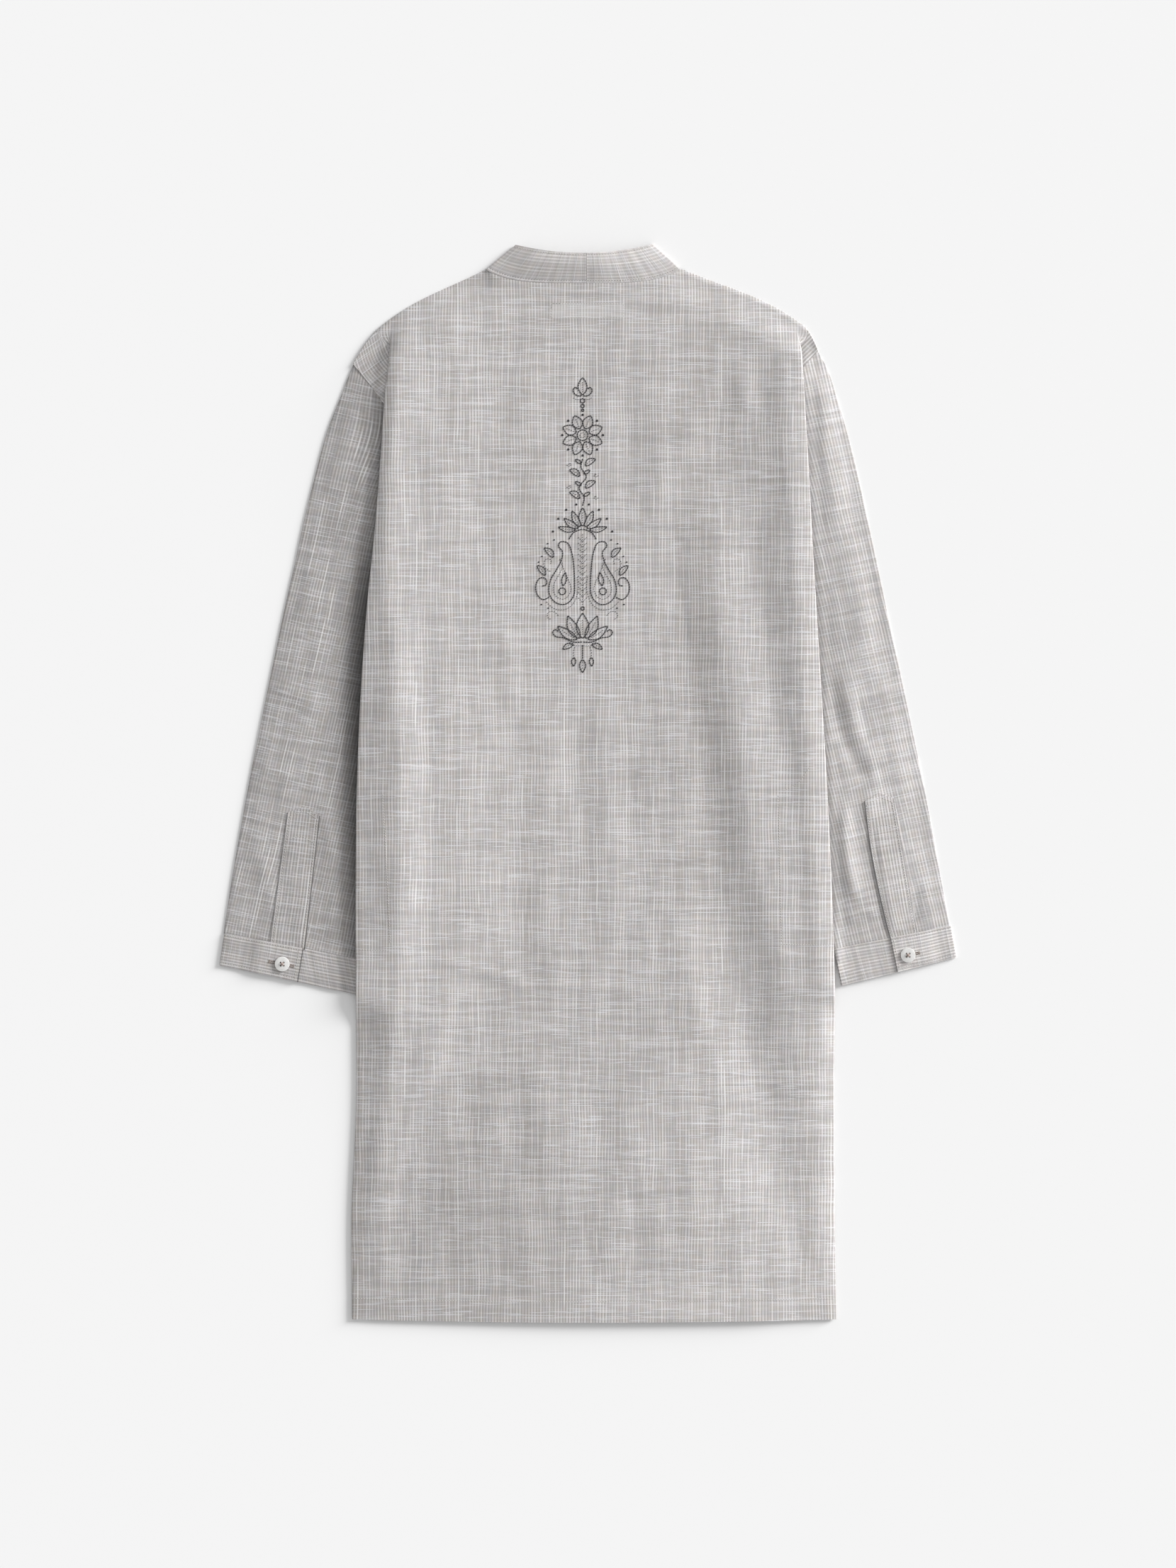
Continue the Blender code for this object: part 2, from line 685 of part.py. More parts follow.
def lathe(name, profile, finish, segments):
    """A turned solid: `profile` runs from the axis at the top to the axis at the foot."""
    shape = bmesh.new()
    verts = [shape.verts.new((radius * MM, 0.0, height * MM)) for radius, height in profile]
    edges = [shape.edges.new(pair) for pair in zip(verts, verts[1:])]
    bmesh.ops.spin(shape, geom=verts + edges, cent=(0, 0, 0), axis=(0, 0, 1), dvec=(0, 0, 0),
                   angle=2 * math.pi, steps=segments, use_duplicate=False)
    bmesh.ops.remove_doubles(shape, verts=shape.verts, dist=0.00001)
    bmesh.ops.recalc_face_normals(shape, faces=shape.faces)
    mesh = bpy.data.meshes.new(name)
    shape.to_mesh(mesh)
    shape.free()
    made = bpy.data.objects.new(name, mesh)
    bpy.context.scene.collection.objects.link(made)
    if finish:
        mesh.materials.append(finish)
    mesh.shade_smooth()
    mesh.set_sharp_from_angle(angle=math.radians(40))
    return made


def make_button(side):
    """A four-hole button with a raised rim, on the lapped end of the cuff."""
    name = "cuff_button_" + SHOULDERS[side].side
    x, y = CUFFS[side].button
    foot = level(2) + CLOTH / 2 + SEAM + sleeve_lift(x, y)
    top = BUTTON_HEIGHT
    profile = [(0.0, top - 0.7), (4.4, top - 0.7), (5.4, top), (6.4, top), (BUTTON_RADIUS, top - 0.8),
               (6.9, 0.5), (6.0, 0.0), (0.0, 0.0)]
    button = lathe(name, profile, material(name, BUTTON_COLOUR, 0.25), BUTTON_SIDES)
    button.location = (x * MM, y * MM, foot * MM)
    for number in range(4):
        angle = math.pi / 4 + number * math.pi / 2
        reach = BUTTON_HOLE_OFFSET * math.sqrt(2)
        cutter = lathe(f"{name}_hole_{number}", [(0.0, top + 1.0), (BUTTON_HOLE, top + 1.0),
                                                 (BUTTON_HOLE, -1.0), (0.0, -1.0)], None, BUTTON_HOLE_SIDES)
        cutter.location = ((x + reach * math.cos(angle)) * MM, (y + reach * math.sin(angle)) * MM,
                           foot * MM)
        cutter.hide_render = True
        cutter.display_type = "WIRE"
        hole = button.modifiers.new("hole", "BOOLEAN")
        hole.operation = "DIFFERENCE"
        hole.solver = "EXACT"
        hole.object = cutter


BAND_STEPS = 2
BAND_END_ANGLE = 88.0


def front_band_point(side, angle, inset):
    """A point of the collar over the front neck, `inset` inside the neck seam."""
    turn_angle = math.radians(angle)
    return (NECK_CENTRE + side * (NECK_HALF - inset) * math.cos(turn_angle),
            NECK_Y - (FRONT_NECK_DROP - inset) * math.sin(min(turn_angle, math.radians(SLIT_ANGLE))))


def band_fold(side):
    """The seam end, the free end and the inward direction of the collar's fold at one side."""
    neck = SHOULDERS[side].neck
    tip = BAND_TIPS[0 if side < 0 else 1]
    length = math.dist(neck, tip)
    along = ((tip[0] - neck[0]) / length, (tip[1] - neck[1]) / length)
    inward = (-side * abs(along[1]), -abs(along[0]))
    foot = (neck[0] + BAND_FOLD_GAP * along[0], neck[1] + BAND_FOLD_GAP * along[1])
    return foot, tip, inward


def back_band_ends(share):
    """Seam and free edge of the collar over the back neck; share runs from -1 to 1."""
    x = NECK_CENTRE + NECK_HALF * share
    left, right = BAND_TIPS
    top_x = mix(left[0], right[0], (share + 1) / 2)
    top = mix(left[1], right[1], (share + 1) / 2) - BAND_DIP * (1 - share * share)
    return (x, back_neck_y(x) + BAND_LIFT), (top_x, top)


def make_collar():
    """One strip: front left, fold, back, fold, front right."""
    low, high = level(FRONT), level(CENTRE_BACK)
    radius = (high - low) / 2
    columns = []
    for side in (-1, 1):
        half = []
        for angle in (BAND_END_ANGLE,) + FRONT_NECK_ANGLES[::-1]:
            half.append((front_band_point(side, angle, BAND_LIFT) + (low,),
                         front_band_point(side, angle, BAND) + (low,)))
        foot, tip, inward = band_fold(side)
        for step in range(ARC_STEPS + 1):
            angle = math.pi * step / ARC_STEPS
            reach = CLOTH / 2 + radius * (1 - math.sin(angle))
            height = low + radius * (1 - math.cos(angle))
            half.append(tuple((end[0] + inward[0] * reach, end[1] + inward[1] * reach, height)
                              for end in (foot, tip)))
        columns.append(half)
    across = []
    for share in BACK_NECK_SHARES[1:-1]:
        seam, free = back_band_ends(share)
        across.append((seam + (high,), free + (high,)))
    strip = columns[0] + across + columns[1][::-1]
    rows = []
    for step in range(BAND_STEPS + 1):
        rows.append([(place, mix_points(seam, free, step / BAND_STEPS))
                     for place, (seam, free) in enumerate(strip)])
    cloth("collar_band", *join_rows(rows))


def patch(xs, ys, height):
    rows = [[(column, (x, y, height(x, y))) for column, x in enumerate(xs)] for y in ys]
    return join_rows(rows)


def make_label():
    """A blank label on the inside of the back neck."""
    x, y = LABEL_CENTRE
    half_width, half_height = LABEL_SIZE[0] / 2, LABEL_SIZE[1] / 2
    xs = np.linspace(x - half_width, x + half_width, 5)
    ys = np.linspace(y + half_height, y - half_height, 3)
    vertices, faces = patch(xs, ys, lambda px, py: back_height(px, py) - PITCH)
    cloth("label", vertices, faces, LABEL_COLOUR)


def make_pocket_bag(side):
    """A side-seam pocket bag, its two plies pressed into one wall, inside the turned-in side."""
    rows = []
    steps = STRIP_ROWS
    for step in range(steps + 1):
        y = mix(POCKET_TOP_Y, POCKET_FOOT_Y, step / steps)
        outer, inner = POCKET_OUTER, turn(side, y) - POCKET_INNER
        top_slope = POCKET_TOP_SLOPE if step == 0 else 0.0
        row = []
        for column in range(4):
            share = column / 3
            x = fold_x(side, y) - side * mix(outer, inner, share)
            row.append((column, (x, y - top_slope * share, level(POCKET))))
        rows.append(row)
    cloth("pocket_bag_" + SHOULDERS[side].side, *join_rows(rows), POCKET_COLOUR)


def main():
    clear_scene()
    make_front()
    make_front_placket()
    make_back()
    make_collar()
    make_label()
    for side in (-1, 1):
        make_sleeve(side)
        make_sleeve_placket(side)
        make_cuff(side)
        make_button(side)
        make_pocket_bag(side)


main()
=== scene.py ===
"""A kurta tunic of slub cotton, laid flat on its face and seen from straight above."""

import math
from collections import namedtuple

import bpy
import numpy as np
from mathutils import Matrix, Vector


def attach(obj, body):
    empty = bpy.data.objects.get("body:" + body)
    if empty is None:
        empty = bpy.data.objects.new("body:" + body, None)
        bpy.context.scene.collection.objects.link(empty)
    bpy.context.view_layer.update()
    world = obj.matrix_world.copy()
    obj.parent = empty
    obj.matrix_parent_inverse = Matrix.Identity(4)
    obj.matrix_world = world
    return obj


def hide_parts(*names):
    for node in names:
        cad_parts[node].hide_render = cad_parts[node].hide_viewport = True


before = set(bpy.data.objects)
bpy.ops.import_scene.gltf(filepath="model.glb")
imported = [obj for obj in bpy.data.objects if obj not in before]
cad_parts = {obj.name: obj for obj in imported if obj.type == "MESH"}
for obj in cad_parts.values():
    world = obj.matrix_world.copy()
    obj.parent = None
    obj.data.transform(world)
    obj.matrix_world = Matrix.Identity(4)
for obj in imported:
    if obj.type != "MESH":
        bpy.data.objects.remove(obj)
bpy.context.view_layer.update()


# ---- The studio
# A matt white table top under a pale ceiling, with one broad soft lamp low at the upper right. The
# camera looks straight down on the garment through a long lens.
MM = 0.001           # every size below is in millimetres, and is made metres where a mesh is built
PICTURE_HEIGHT = 1482.0
PICTURE_MIDDLE = (0.0, -0.7, 5.0)
LENS, FILM = 100.0, 36.0
CAMERA_SEES = 60.0   # metres
TABLE, TABLE_DROP = 9000.0, 0.2
TABLE_WHITE = (0.90, 0.90, 0.90, 1.0)
LAMP_TURN, LAMP_RISE = 28.0, 15.0    # degrees from +X towards +Y, and above the table
LAMP_SPREAD = 24.0                   # how broad the lamp looks from the garment, in degrees
LAMP_POWER = 5.4
ROOM_LIGHT = 0.565


def placed(name, data):
    """A new object in the scene."""
    made = bpy.data.objects.new(name, data)
    bpy.context.scene.collection.objects.link(made)
    return made


camera_data = bpy.data.cameras.new("camera")
camera_data.lens = LENS
camera_data.sensor_width = FILM
camera_data.clip_end = CAMERA_SEES
camera = placed("camera", camera_data)
camera.location = (PICTURE_MIDDLE[0] * MM, PICTURE_MIDDLE[1] * MM,
                   (PICTURE_MIDDLE[2] + PICTURE_HEIGHT * LENS / FILM) * MM)
bpy.context.scene.camera = camera

lamp_data = bpy.data.lights.new("lamp", "SUN")
lamp_data.energy = LAMP_POWER
lamp_data.angle = math.radians(LAMP_SPREAD)
lamp = placed("lamp", lamp_data)
lamp_turn, lamp_rise = math.radians(LAMP_TURN), math.radians(LAMP_RISE)
towards_lamp = Vector((math.cos(lamp_rise) * math.cos(lamp_turn),
                       math.cos(lamp_rise) * math.sin(lamp_turn), math.sin(lamp_rise)))
lamp.rotation_euler = (-towards_lamp).to_track_quat("-Z", "Y").to_euler()

room = bpy.data.worlds.new("room")
room.use_nodes = True
ceiling = room.node_tree.nodes["Background"]
ceiling.inputs["Color"].default_value = (1.0, 1.0, 1.0, 1.0)
ceiling.inputs["Strength"].default_value = ROOM_LIGHT
bpy.context.scene.world = room
bpy.context.scene.view_settings.view_transform = "Standard"

bpy.ops.mesh.primitive_plane_add(size=TABLE * MM, location=(0.0, 0.0, -TABLE_DROP * MM))
table_top = bpy.context.active_object
table_top.name = "table_top"
table_paint = bpy.data.materials.new("table_paint")
table_paint.use_nodes = True
matt = table_paint.node_tree.nodes["Principled BSDF"]
matt.inputs["Base Color"].default_value = TABLE_WHITE
matt.inputs["Roughness"].default_value = 0.9
table_top.data.materials.append(table_paint)


# ---- The front
# One cut of thin slub cotton, stitched to the back at the shoulders and sides. It lies face down on
# the table, and each of its sides is folded up and in over it, up to the side seam.
CLOTH = 0.5          # thickness of the cotton
PITCH = 1.45         # from one ply to the next where they lie loosely on each other
FRONT, FRONT_TURN, SLEEVE_UNDER, SLEEVE_OVER, BACK_TURN, POCKET, BACK = range(7)
LOW_BACK_TURN, LOW_BACK = 2, 3       # the same two plies below the cuffs
LOW_SQUEEZE = 0.46                   # and how much closer the plies lie there
EDGE_PRESS = 0.65                    # how far the back is pressed down along its side folds
CENTRE_BACK = 2                      # the back between the two sides

APEX_Y, UNDERARM_Y = 434.5, 222.0    # where the side fold leaves the shoulder, and the armhole's foot
HEM_Y, HEM_DIP = -507.0, 2.9
BODY_ROWS = (        # y, left fold, right fold, how deep the left and the right side are turned in
    (434.5, -192.0, 200.7, 0.0, 0.0),
    (412.0, -188.2, 202.0, 8.0, 9.0),
    (366.0, -192.1, 204.6, 26.0, 28.0),
    (309.0, -196.0, 208.0, 48.0, 51.0),
    (222.0, -203.3, 212.5, 81.0, 86.0),
    (190.0, -206.8, 214.4, 83.0, 90.0),
    (97.0, -214.1, 220.0, 71.0, 86.0),
    (-10.0, -218.6, 226.3, 60.0, 78.0),
    (-99.0, -219.6, 230.3, 52.0, 71.0),
    (-200.0, -219.4, 233.3, 44.0, 62.0),
    (-290.0, -218.8, 232.6, 34.0, 44.0),
    (-420.0, -223.8, 233.5, 19.0, 22.0),
    (-507.0, -222.8, 234.8, 15.0, 15.0),
)
Shoulder = namedtuple("Shoulder", "side neck apex bulge tip armhole_lead underarm underarm_lead")
SHOULDERS = {
    -1: Shoulder("left", (-97.5, 485.1), (-192.0, 434.5), 3.8, (-222.1, 396.0),
                 (-182.0, 352.0), (-124.3, 222.0), (-146.0, 282.0)),
    1: Shoulder("right", (88.1, 486.4), (200.7, 434.5), 4.9, (217.4, 408.7),
                (176.0, 366.0), (128.5, 222.0), (150.0, 282.0)),
}
WEDGE_BULGE = 4.5                    # how far the shoulder rounds out beyond the side fold
NECK_Y, NECK_CENTRE, NECK_HALF = 485.7, -4.7, 92.8
BACK_NECK_DIP, FRONT_NECK_DROP, NECK_BELOW_APEX = 13.3, 70.0, 40.0
SLIT_HALF, SLIT_ANGLE, SLIT_END_Y = 14.5, 81.01, 85.0
NECK_ANGLE_STEP = 4.0
SHOULDER_RISE = 38.0                 # from the shoulder edge to a panel's full height
FOLD_FROM, FOLD_FULL, FLAT_SPREAD = 3.0, 30.0, 6.0    # how the pleat at the shoulder forms
LIFT_FLAT = 1.5                      # beside the body the sleeve comes down to the table
LIFT_END = {-1: 9.0, 1: 11.0}        # between these distances from the fold
RIGHT_CUFF_Y, RIGHT_CUFF_FADE = -192.0, 30.0      # the right cuff's end lies clear of the body
FRONT_INSET = 3.0                    # how far the front's folds lie inside the back's
SEAM_BEND, SEAM_OPEN, SEAM_CLOSED = 9.0, 10.0, 34.0    # how the side seam closes under the armhole
CUFFS_END_Y, CUFFS_FADE = -231.0, 33.0            # where the stack of plies thins below the cuffs
HEM_DEPTH, HEM_EXTRA = 20.0, 0.3     # depth of the turned-up hem, and how much thicker it is
TUCK, TUCK_DEPTH = 2.5, 0.9          # how far a panel runs on under the collar, and turns inward
FOLD_STEPS, TURN_STEPS, WEDGE_STEPS = 5, 12, 14
FRONT_ROW_STEP, FRONT_SHOULDER_STEPS = 6.0, 16
SHARP_EDGE = 55.0                    # degrees


def ease(value):
    """Smooth step from 0 to 1."""
    held = np.clip(value, 0.0, 1.0)
    return held * held * (3.0 - 2.0 * held)


def mix(first, second, share):
    """Between two values, the first of them at share 0."""
    return first + (second - first) * share


def curve_through(knots):
    """A smooth function of y through (y, value) knots, held level past both ends."""
    ys, values = np.array(sorted(knots), dtype=float).T
    slopes = np.gradient(values, ys)

    def at(y):
        held = np.clip(y, ys[0], ys[-1])
        place = np.clip(np.searchsorted(ys, held) - 1, 0, len(ys) - 2)
        span = ys[place + 1] - ys[place]
        part = (held - ys[place]) / span
        start = values[place] * (1 + 2 * part) * (1 - part) ** 2
        end = values[place + 1] * (3 - 2 * part) * part ** 2
        return start + end + span * part * (1 - part) * (
            slopes[place] * (1 - part) - slopes[place + 1] * part)

    return at


def side_curves(rows, left, right):
    """A table's left and right columns as smooth functions of y, by side."""
    return {side: curve_through([(row[0], row[place]) for row in rows])
            for side, place in ((-1, left), (1, right))}


def unit(vectors):
    """Vectors of length 1 along these."""
    return vectors / np.maximum(np.linalg.norm(vectors, axis=-1, keepdims=True), 1e-12)


fold_x, turned_in = side_curves(BODY_ROWS, 1, 2), side_curves(BODY_ROWS, 3, 4)


def level(ply):
    """Height of the middle of a ply that lies on those below it."""
    return CLOTH / 2 + PITCH * ply


def bezier(start, lead, end_lead, end, share):
    """A point of the curve that leaves `start` towards `lead` and comes to `end` from `end_lead`."""
    rest = 1.0 - share
    return tuple(rest ** 3 * start[i] + 3 * rest * rest * share * lead[i]
                 + 3 * rest * share * share * end_lead[i] + share ** 3 * end[i] for i in (0, 1))


def armhole(side, share):
    """A point of the armhole, from the shoulder at 0 to the underarm at 1."""
    row = SHOULDERS[side]
    return bezier(row.tip, row.armhole_lead, row.underarm_lead, row.underarm, share)


def shoulder_y(side, x):
    """The shoulder line from the neck to the side fold, and on towards the armhole."""
    row = SHOULDERS[side]
    share = (x - row.neck[0]) / (row.apex[0] - row.neck[0])
    beyond = (x - row.apex[0]) / (row.tip[0] - row.apex[0])
    inner = mix(row.neck[1], row.apex[1], share) + row.bulge * 6.75 * share * share * (1 - share)
    outer = mix(row.apex[1], row.tip[1], beyond) + WEDGE_BULGE * 4 * beyond * (1 - beyond)
    return np.where(share > 1.0, outer, inner)


def neck_share(x):
    """0 at the middle of the neck, 1 at its sides and beyond."""
    return np.minimum(np.abs(x - NECK_CENTRE) / NECK_HALF, 1.0)


def front_neck_y(x):
    return NECK_Y - FRONT_NECK_DROP * np.sqrt(1 - neck_share(x) ** 2)


def back_neck_y(x):
    return NECK_Y - BACK_NECK_DIP * (1 - neck_share(x) ** 4)


def top_y(x, neck_y):
    """The upper edge of a panel, along its neck and its shoulders."""
    beside = np.where(x < NECK_CENTRE, shoulder_y(-1, x), shoulder_y(1, x))
    return np.where(neck_share(x) < 1.0, neck_y(x), beside)


def hem_y(x):
    share = (x - BODY_ROWS[-1][1]) / (BODY_ROWS[-1][2] - BODY_ROWS[-1][1])
    return HEM_Y - HEM_DIP * 4 * share * (1 - share)


def in_cuffs(y):
    """1 beside and above the cuffs, 0 where only the body's own sides are stacked."""
    return ease((y - CUFFS_END_Y) / CUFFS_FADE)


def low_level(ply):
    """Height of the middle of a ply below the cuffs, where few lie on each other."""
    return CLOTH / 2 + PITCH * LOW_SQUEEZE * ply


def front_turn_level(y):
    return mix(low_level(FRONT_TURN), level(FRONT_TURN), in_cuffs(y))


def back_turn_level(y):
    return mix(low_level(LOW_BACK_TURN), level(BACK_TURN), in_cuffs(y))


def back_side_level(y):
    return mix(low_level(LOW_BACK), level(BACK) - EDGE_PRESS, in_cuffs(y))


def sleeve_lift(x, y):
    """How far the sleeve is held off the table by the body's turned-in front."""
    outward = np.maximum(fold_x[-1](y) - x, x - fold_x[1](y))
    end = np.where(x < 0, LIFT_END[-1], LIFT_END[1])
    beside = 1 - ease((outward - LIFT_FLAT) / (end - LIFT_FLAT))
    beside = beside * np.where(x > 0, ease((y - RIGHT_CUFF_Y) / RIGHT_CUFF_FADE), 1.0)
    return PITCH * SLEEVE_UNDER * beside * ease((APEX_Y - y) / SHOULDER_RISE)


def unfold(side, x, y):
    """Where a point outside the pleat lies on the flat cut panel, before the side's two folds."""
    apex = SHOULDERS[side].apex
    foot_x = fold_x[side](UNDERARM_Y) - side * turned_in[side](UNDERARM_Y)
    length = math.hypot(foot_x - apex[0], UNDERARM_Y - apex[1])
    along = ((foot_x - apex[0]) / length, (UNDERARM_Y - apex[1]) / length)
    dx, dy = x - apex[0], y - apex[1]
    reach = dx * along[0] + dy * along[1]
    turned_x = apex[0] + 2 * reach * along[0] - dx
    turned_y = apex[1] + 2 * reach * along[1] - dy
    return 2 * fold_x[side](turned_y) - turned_x, turned_y


Ply = namedtuple("Ply", "main turned wedge inset edge height neck_y")


def side_section(side, drop, ply):
    """One section of a turned-in side: main edge, fold, turned-in ply, and pleat and wedge or none.

    Each row is x, y, z and the two coordinates of the cut cloth.
    """
    y = APEX_Y - drop
    upper = y >= UNDERARM_Y
    rise = ease(drop / SHOULDER_RISE)
    main, turned, wedge = (mix(ply.edge, height, rise) for height in ply[:3])
    radius, second = abs(main - turned) / 2, abs(turned - wedge) / 2
    down = math.copysign(1.0, turned - main)
    depth = float(turned_in[side](y))
    start = -ply.inset - CLOTH / 2 - radius
    end = -depth + CLOTH / 2 + second if upper else -depth
    arc = np.pi * np.arange(1, FOLD_STEPS + 1) / FOLD_STEPS
    across = np.arange(1, TURN_STEPS + 1) / TURN_STEPS
    middle = (back_turn_level(y) + front_turn_level(y)) / 2
    bent = ease((UNDERARM_Y - SEAM_OPEN - y) / (SEAM_CLOSED - SEAM_OPEN))
    seam = mix(turned, middle - down * PITCH / 4, bent)
    flat_part = mix(start, end, across)
    sink = 0.0 if upper else ease(1 - (flat_part - end) / SEAM_BEND)
    reach = np.concatenate([[start], start + radius * np.sin(arc), flat_part])
    height = np.concatenate([[main], main + down * radius * (1 - np.cos(arc)),
                             mix(turned, seam, sink) + 0 * flat_part])
    if upper:
        reach = np.append(reach, end - second * np.sin(arc))
        height = np.append(height, turned + down * second * (1 - np.cos(arc)))
    cut = start + np.append(0.0, np.cumsum(np.hypot(np.diff(reach), np.diff(height))))
    formed = ease((drop - FOLD_FROM) / (FOLD_FULL - FOLD_FROM))
    share = np.arange(len(reach)) / (len(reach) - 1)
    flat = mix(-FLAT_SPREAD, FLAT_SPREAD, share) if upper else reach
    height = mix(mix(main, wedge if upper else turned, share), height, formed)
    flat_y = shoulder_y(side, SHOULDERS[side].apex[0] + side * flat) - drop
    section = np.full((1 + 2 * FOLD_STEPS + TURN_STEPS + WEDGE_STEPS, 5), np.nan)
    section[:len(reach)] = np.stack([
        fold_x[side](y) + side * mix(flat, reach, formed), mix(flat_y, y, formed), height,
        fold_x[side](y) + side * mix(flat, cut, formed), mix(flat_y, y, formed)], axis=1)
    if upper:
        section[-WEDGE_STEPS:] = wedge_section(side, drop, section[len(reach) - 1], ply)
    return section


def wedge_section(side, drop, foot, ply):
    """The cloth outside the pleat, from its fold `foot` to the armhole."""
    row = SHOULDERS[side]
    share = min(drop / (APEX_Y - UNDERARM_Y), 1.0)
    part = np.arange(1, WEDGE_STEPS + 1) / WEDGE_STEPS
    rim = armhole(side, share)
    x, y = mix(foot[0], rim[0], part), mix(foot[1], rim[1], part)
    first_x = row.apex[0] + side * FLAT_SPREAD
    straight = mix(shoulder_y(side, first_x), row.tip[1], part)
    y = y + (shoulder_y(side, mix(first_x, row.tip[0], part)) - straight) * (1 - share) ** 3
    z = ply.edge + sleeve_lift(x, y)
    return np.stack([x, y, z, *unfold(side, x, y)], axis=1)


def panel(ply_at, shares, row_step):
    """The back or the front as rows of points from the shoulder to the hem, sides turned in."""
    upper = np.linspace(0.0, APEX_Y - UNDERARM_Y, round((APEX_Y - UNDERARM_Y) / row_step) + 1)
    lower = np.linspace(APEX_Y - UNDERARM_Y, APEX_Y - HEM_Y, round((UNDERARM_Y - HEM_Y) / row_step) + 1)
    rows = []
    for drop in np.concatenate([upper, lower[1:]]):
        y = APEX_Y - drop
        ply = ply_at(y)
        left, right = (side_section(side, drop, ply) for side in (-1, 1))
        x = mix(left[0, 0], right[0, 0], shares)
        start_x = mix(SHOULDERS[-1].apex[0] + left[0, 0] - fold_x[-1](y),
                      SHOULDERS[1].apex[0] + right[0, 0] - fold_x[1](y), shares)
        main_y = mix(top_y(start_x, ply.neck_y), hem_y(x), drop / (APEX_Y - HEM_Y))
        main = np.stack([x, main_y, ply.height(x, main_y), x, main_y], axis=1)
        rows.append(np.concatenate([left[:0:-1], left[:1], main[1:-1], right]))
    top = rows[0].copy()
    inside = (neck_share(top[:, 0]) < 0.995) & (top[:, 1] > APEX_Y - NECK_BELOW_APEX)
    top[:, 1] += np.where(inside, TUCK, CLOTH)
    top[:, 4] += np.where(inside, TUCK, CLOTH)
    middle = (level(FRONT) + level(FRONT_TURN)) / 2
    away = -TUCK_DEPTH if ply_at(APEX_Y).edge > middle else TUCK_DEPTH
    top[:, 2] = np.where(inside, top[:, 2] + away, middle - away * 0.1)
    return np.array([top] + rows)


def main_shares(neck_steps, shoulder_steps):
    """Where the long rows of a panel stand across it, as shares from side fold to side fold."""
    left, right = SHOULDERS[-1], SHOULDERS[1]
    xs = np.concatenate([np.linspace(left.apex[0], left.neck[0], shoulder_steps + 1)[:-1],
                         NECK_CENTRE + NECK_HALF * np.array(neck_steps),
                         np.linspace(right.neck[0], right.apex[0], shoulder_steps + 1)[1:]])
    return (xs - left.apex[0]) / (right.apex[0] - left.apex[0])


def cloth_mesh(name, grid, thickness=CLOTH, closed=False, missing=None, gap=None):
    """A piece of cloth from rows and columns of (x, y, z, u, v), thickened to both sides.

    u and v are the cut cloth's own coordinates, across and along its stripes. A closed piece's last
    column is its first again. `missing` marks cells with no cloth, and `gap` holds the painted shade
    of each point, as the share of its colour kept: 1 where none is painted.
    """
    rows, columns = grid.shape[:2]
    corner = np.arange(rows * columns).reshape(rows, columns)
    welded = corner.copy()
    if closed:
        welded[:, -1] = welded[:, 0]
    present = ~np.isnan(grid[..., 0])
    kept = present[:-1, :-1] & present[1:, :-1] & present[1:, 1:] & present[:-1, 1:]
    if missing is not None:
        kept &= ~missing
    cells = np.stack([corner[:-1, :-1], corner[1:, :-1], corner[1:, 1:], corner[:-1, 1:]], -1)[kept]
    faces = welded.ravel()[cells]
    flat = grid.reshape(-1, 5)
    points = flat[:, :3]
    crossed = np.cross(points[faces[:, 2]] - points[faces[:, 0]],
                       points[faces[:, 3]] - points[faces[:, 1]])
    normals = np.zeros_like(points)
    for place in range(4):
        np.add.at(normals, faces[:, place], crossed)
    normals = unit(normals)
    half = np.broadcast_to(np.asarray(thickness, dtype=float) / 2, (rows, columns)).reshape(-1, 1)
    used, renumbered = np.unique(faces, return_inverse=True)
    faces = renumbered.reshape(-1, 4)
    outer = points[used] + normals[used] * half[used]
    inner = points[used] - normals[used] * half[used]
    edges = {}
    for face, cell in zip(faces.tolist(), cells.tolist()):
        for a, b, ca, cb in zip(face, face[1:] + face[:1], cell, cell[1:] + cell[:1]):
            edges[(a, b)] = (ca, cb)
    count = len(used)
    rim = [(a, b, corners) for (a, b), corners in edges.items() if (b, a) not in edges]
    quads = np.concatenate([faces, count + faces[:, ::-1],
                            [(b, a, count + a, count + b) for a, b, _ in rim]])
    source = np.concatenate([cells, cells[:, ::-1], [(cb, ca, ca, cb) for _, _, (ca, cb) in rim]])
    mesh = bpy.data.meshes.new(name)
    mesh.from_pydata((np.concatenate([outer, inner]) * MM).tolist(), [], quads.tolist())
    weave = mesh.uv_layers.new(name="weave")
    weave.uv.foreach_set("vector", flat[source.ravel(), 3:].astype(np.float32).ravel())
    if gap is not None:
        lit = gap.ravel()[source.ravel()]
        mesh.uv_layers.new(name="gap").uv.foreach_set(
            "vector", np.stack([lit, 0 * lit], axis=1).astype(np.float32).ravel())
    mesh.shade_smooth()
    mesh.set_sharp_from_angle(angle=math.radians(SHARP_EDGE))
    return placed(name, mesh)


def new_material(name):
    """A material, and a function that adds one node, fills its inputs in order and returns an output."""
    material = bpy.data.materials.new(name)
    material.use_nodes = True
    tree = material.node_tree

    def add(kind, *values, out=0, **settings):
        made = tree.nodes.new("ShaderNode" + kind)
        for key, value in settings.items():
            setattr(made, key, value)
        for socket, value in zip(made.inputs, values):
            if isinstance(value, bpy.types.NodeSocket):
                tree.links.new(value, socket)
            elif value is not None:
                socket.default_value = value
        return made.outputs[out]

    return material, add


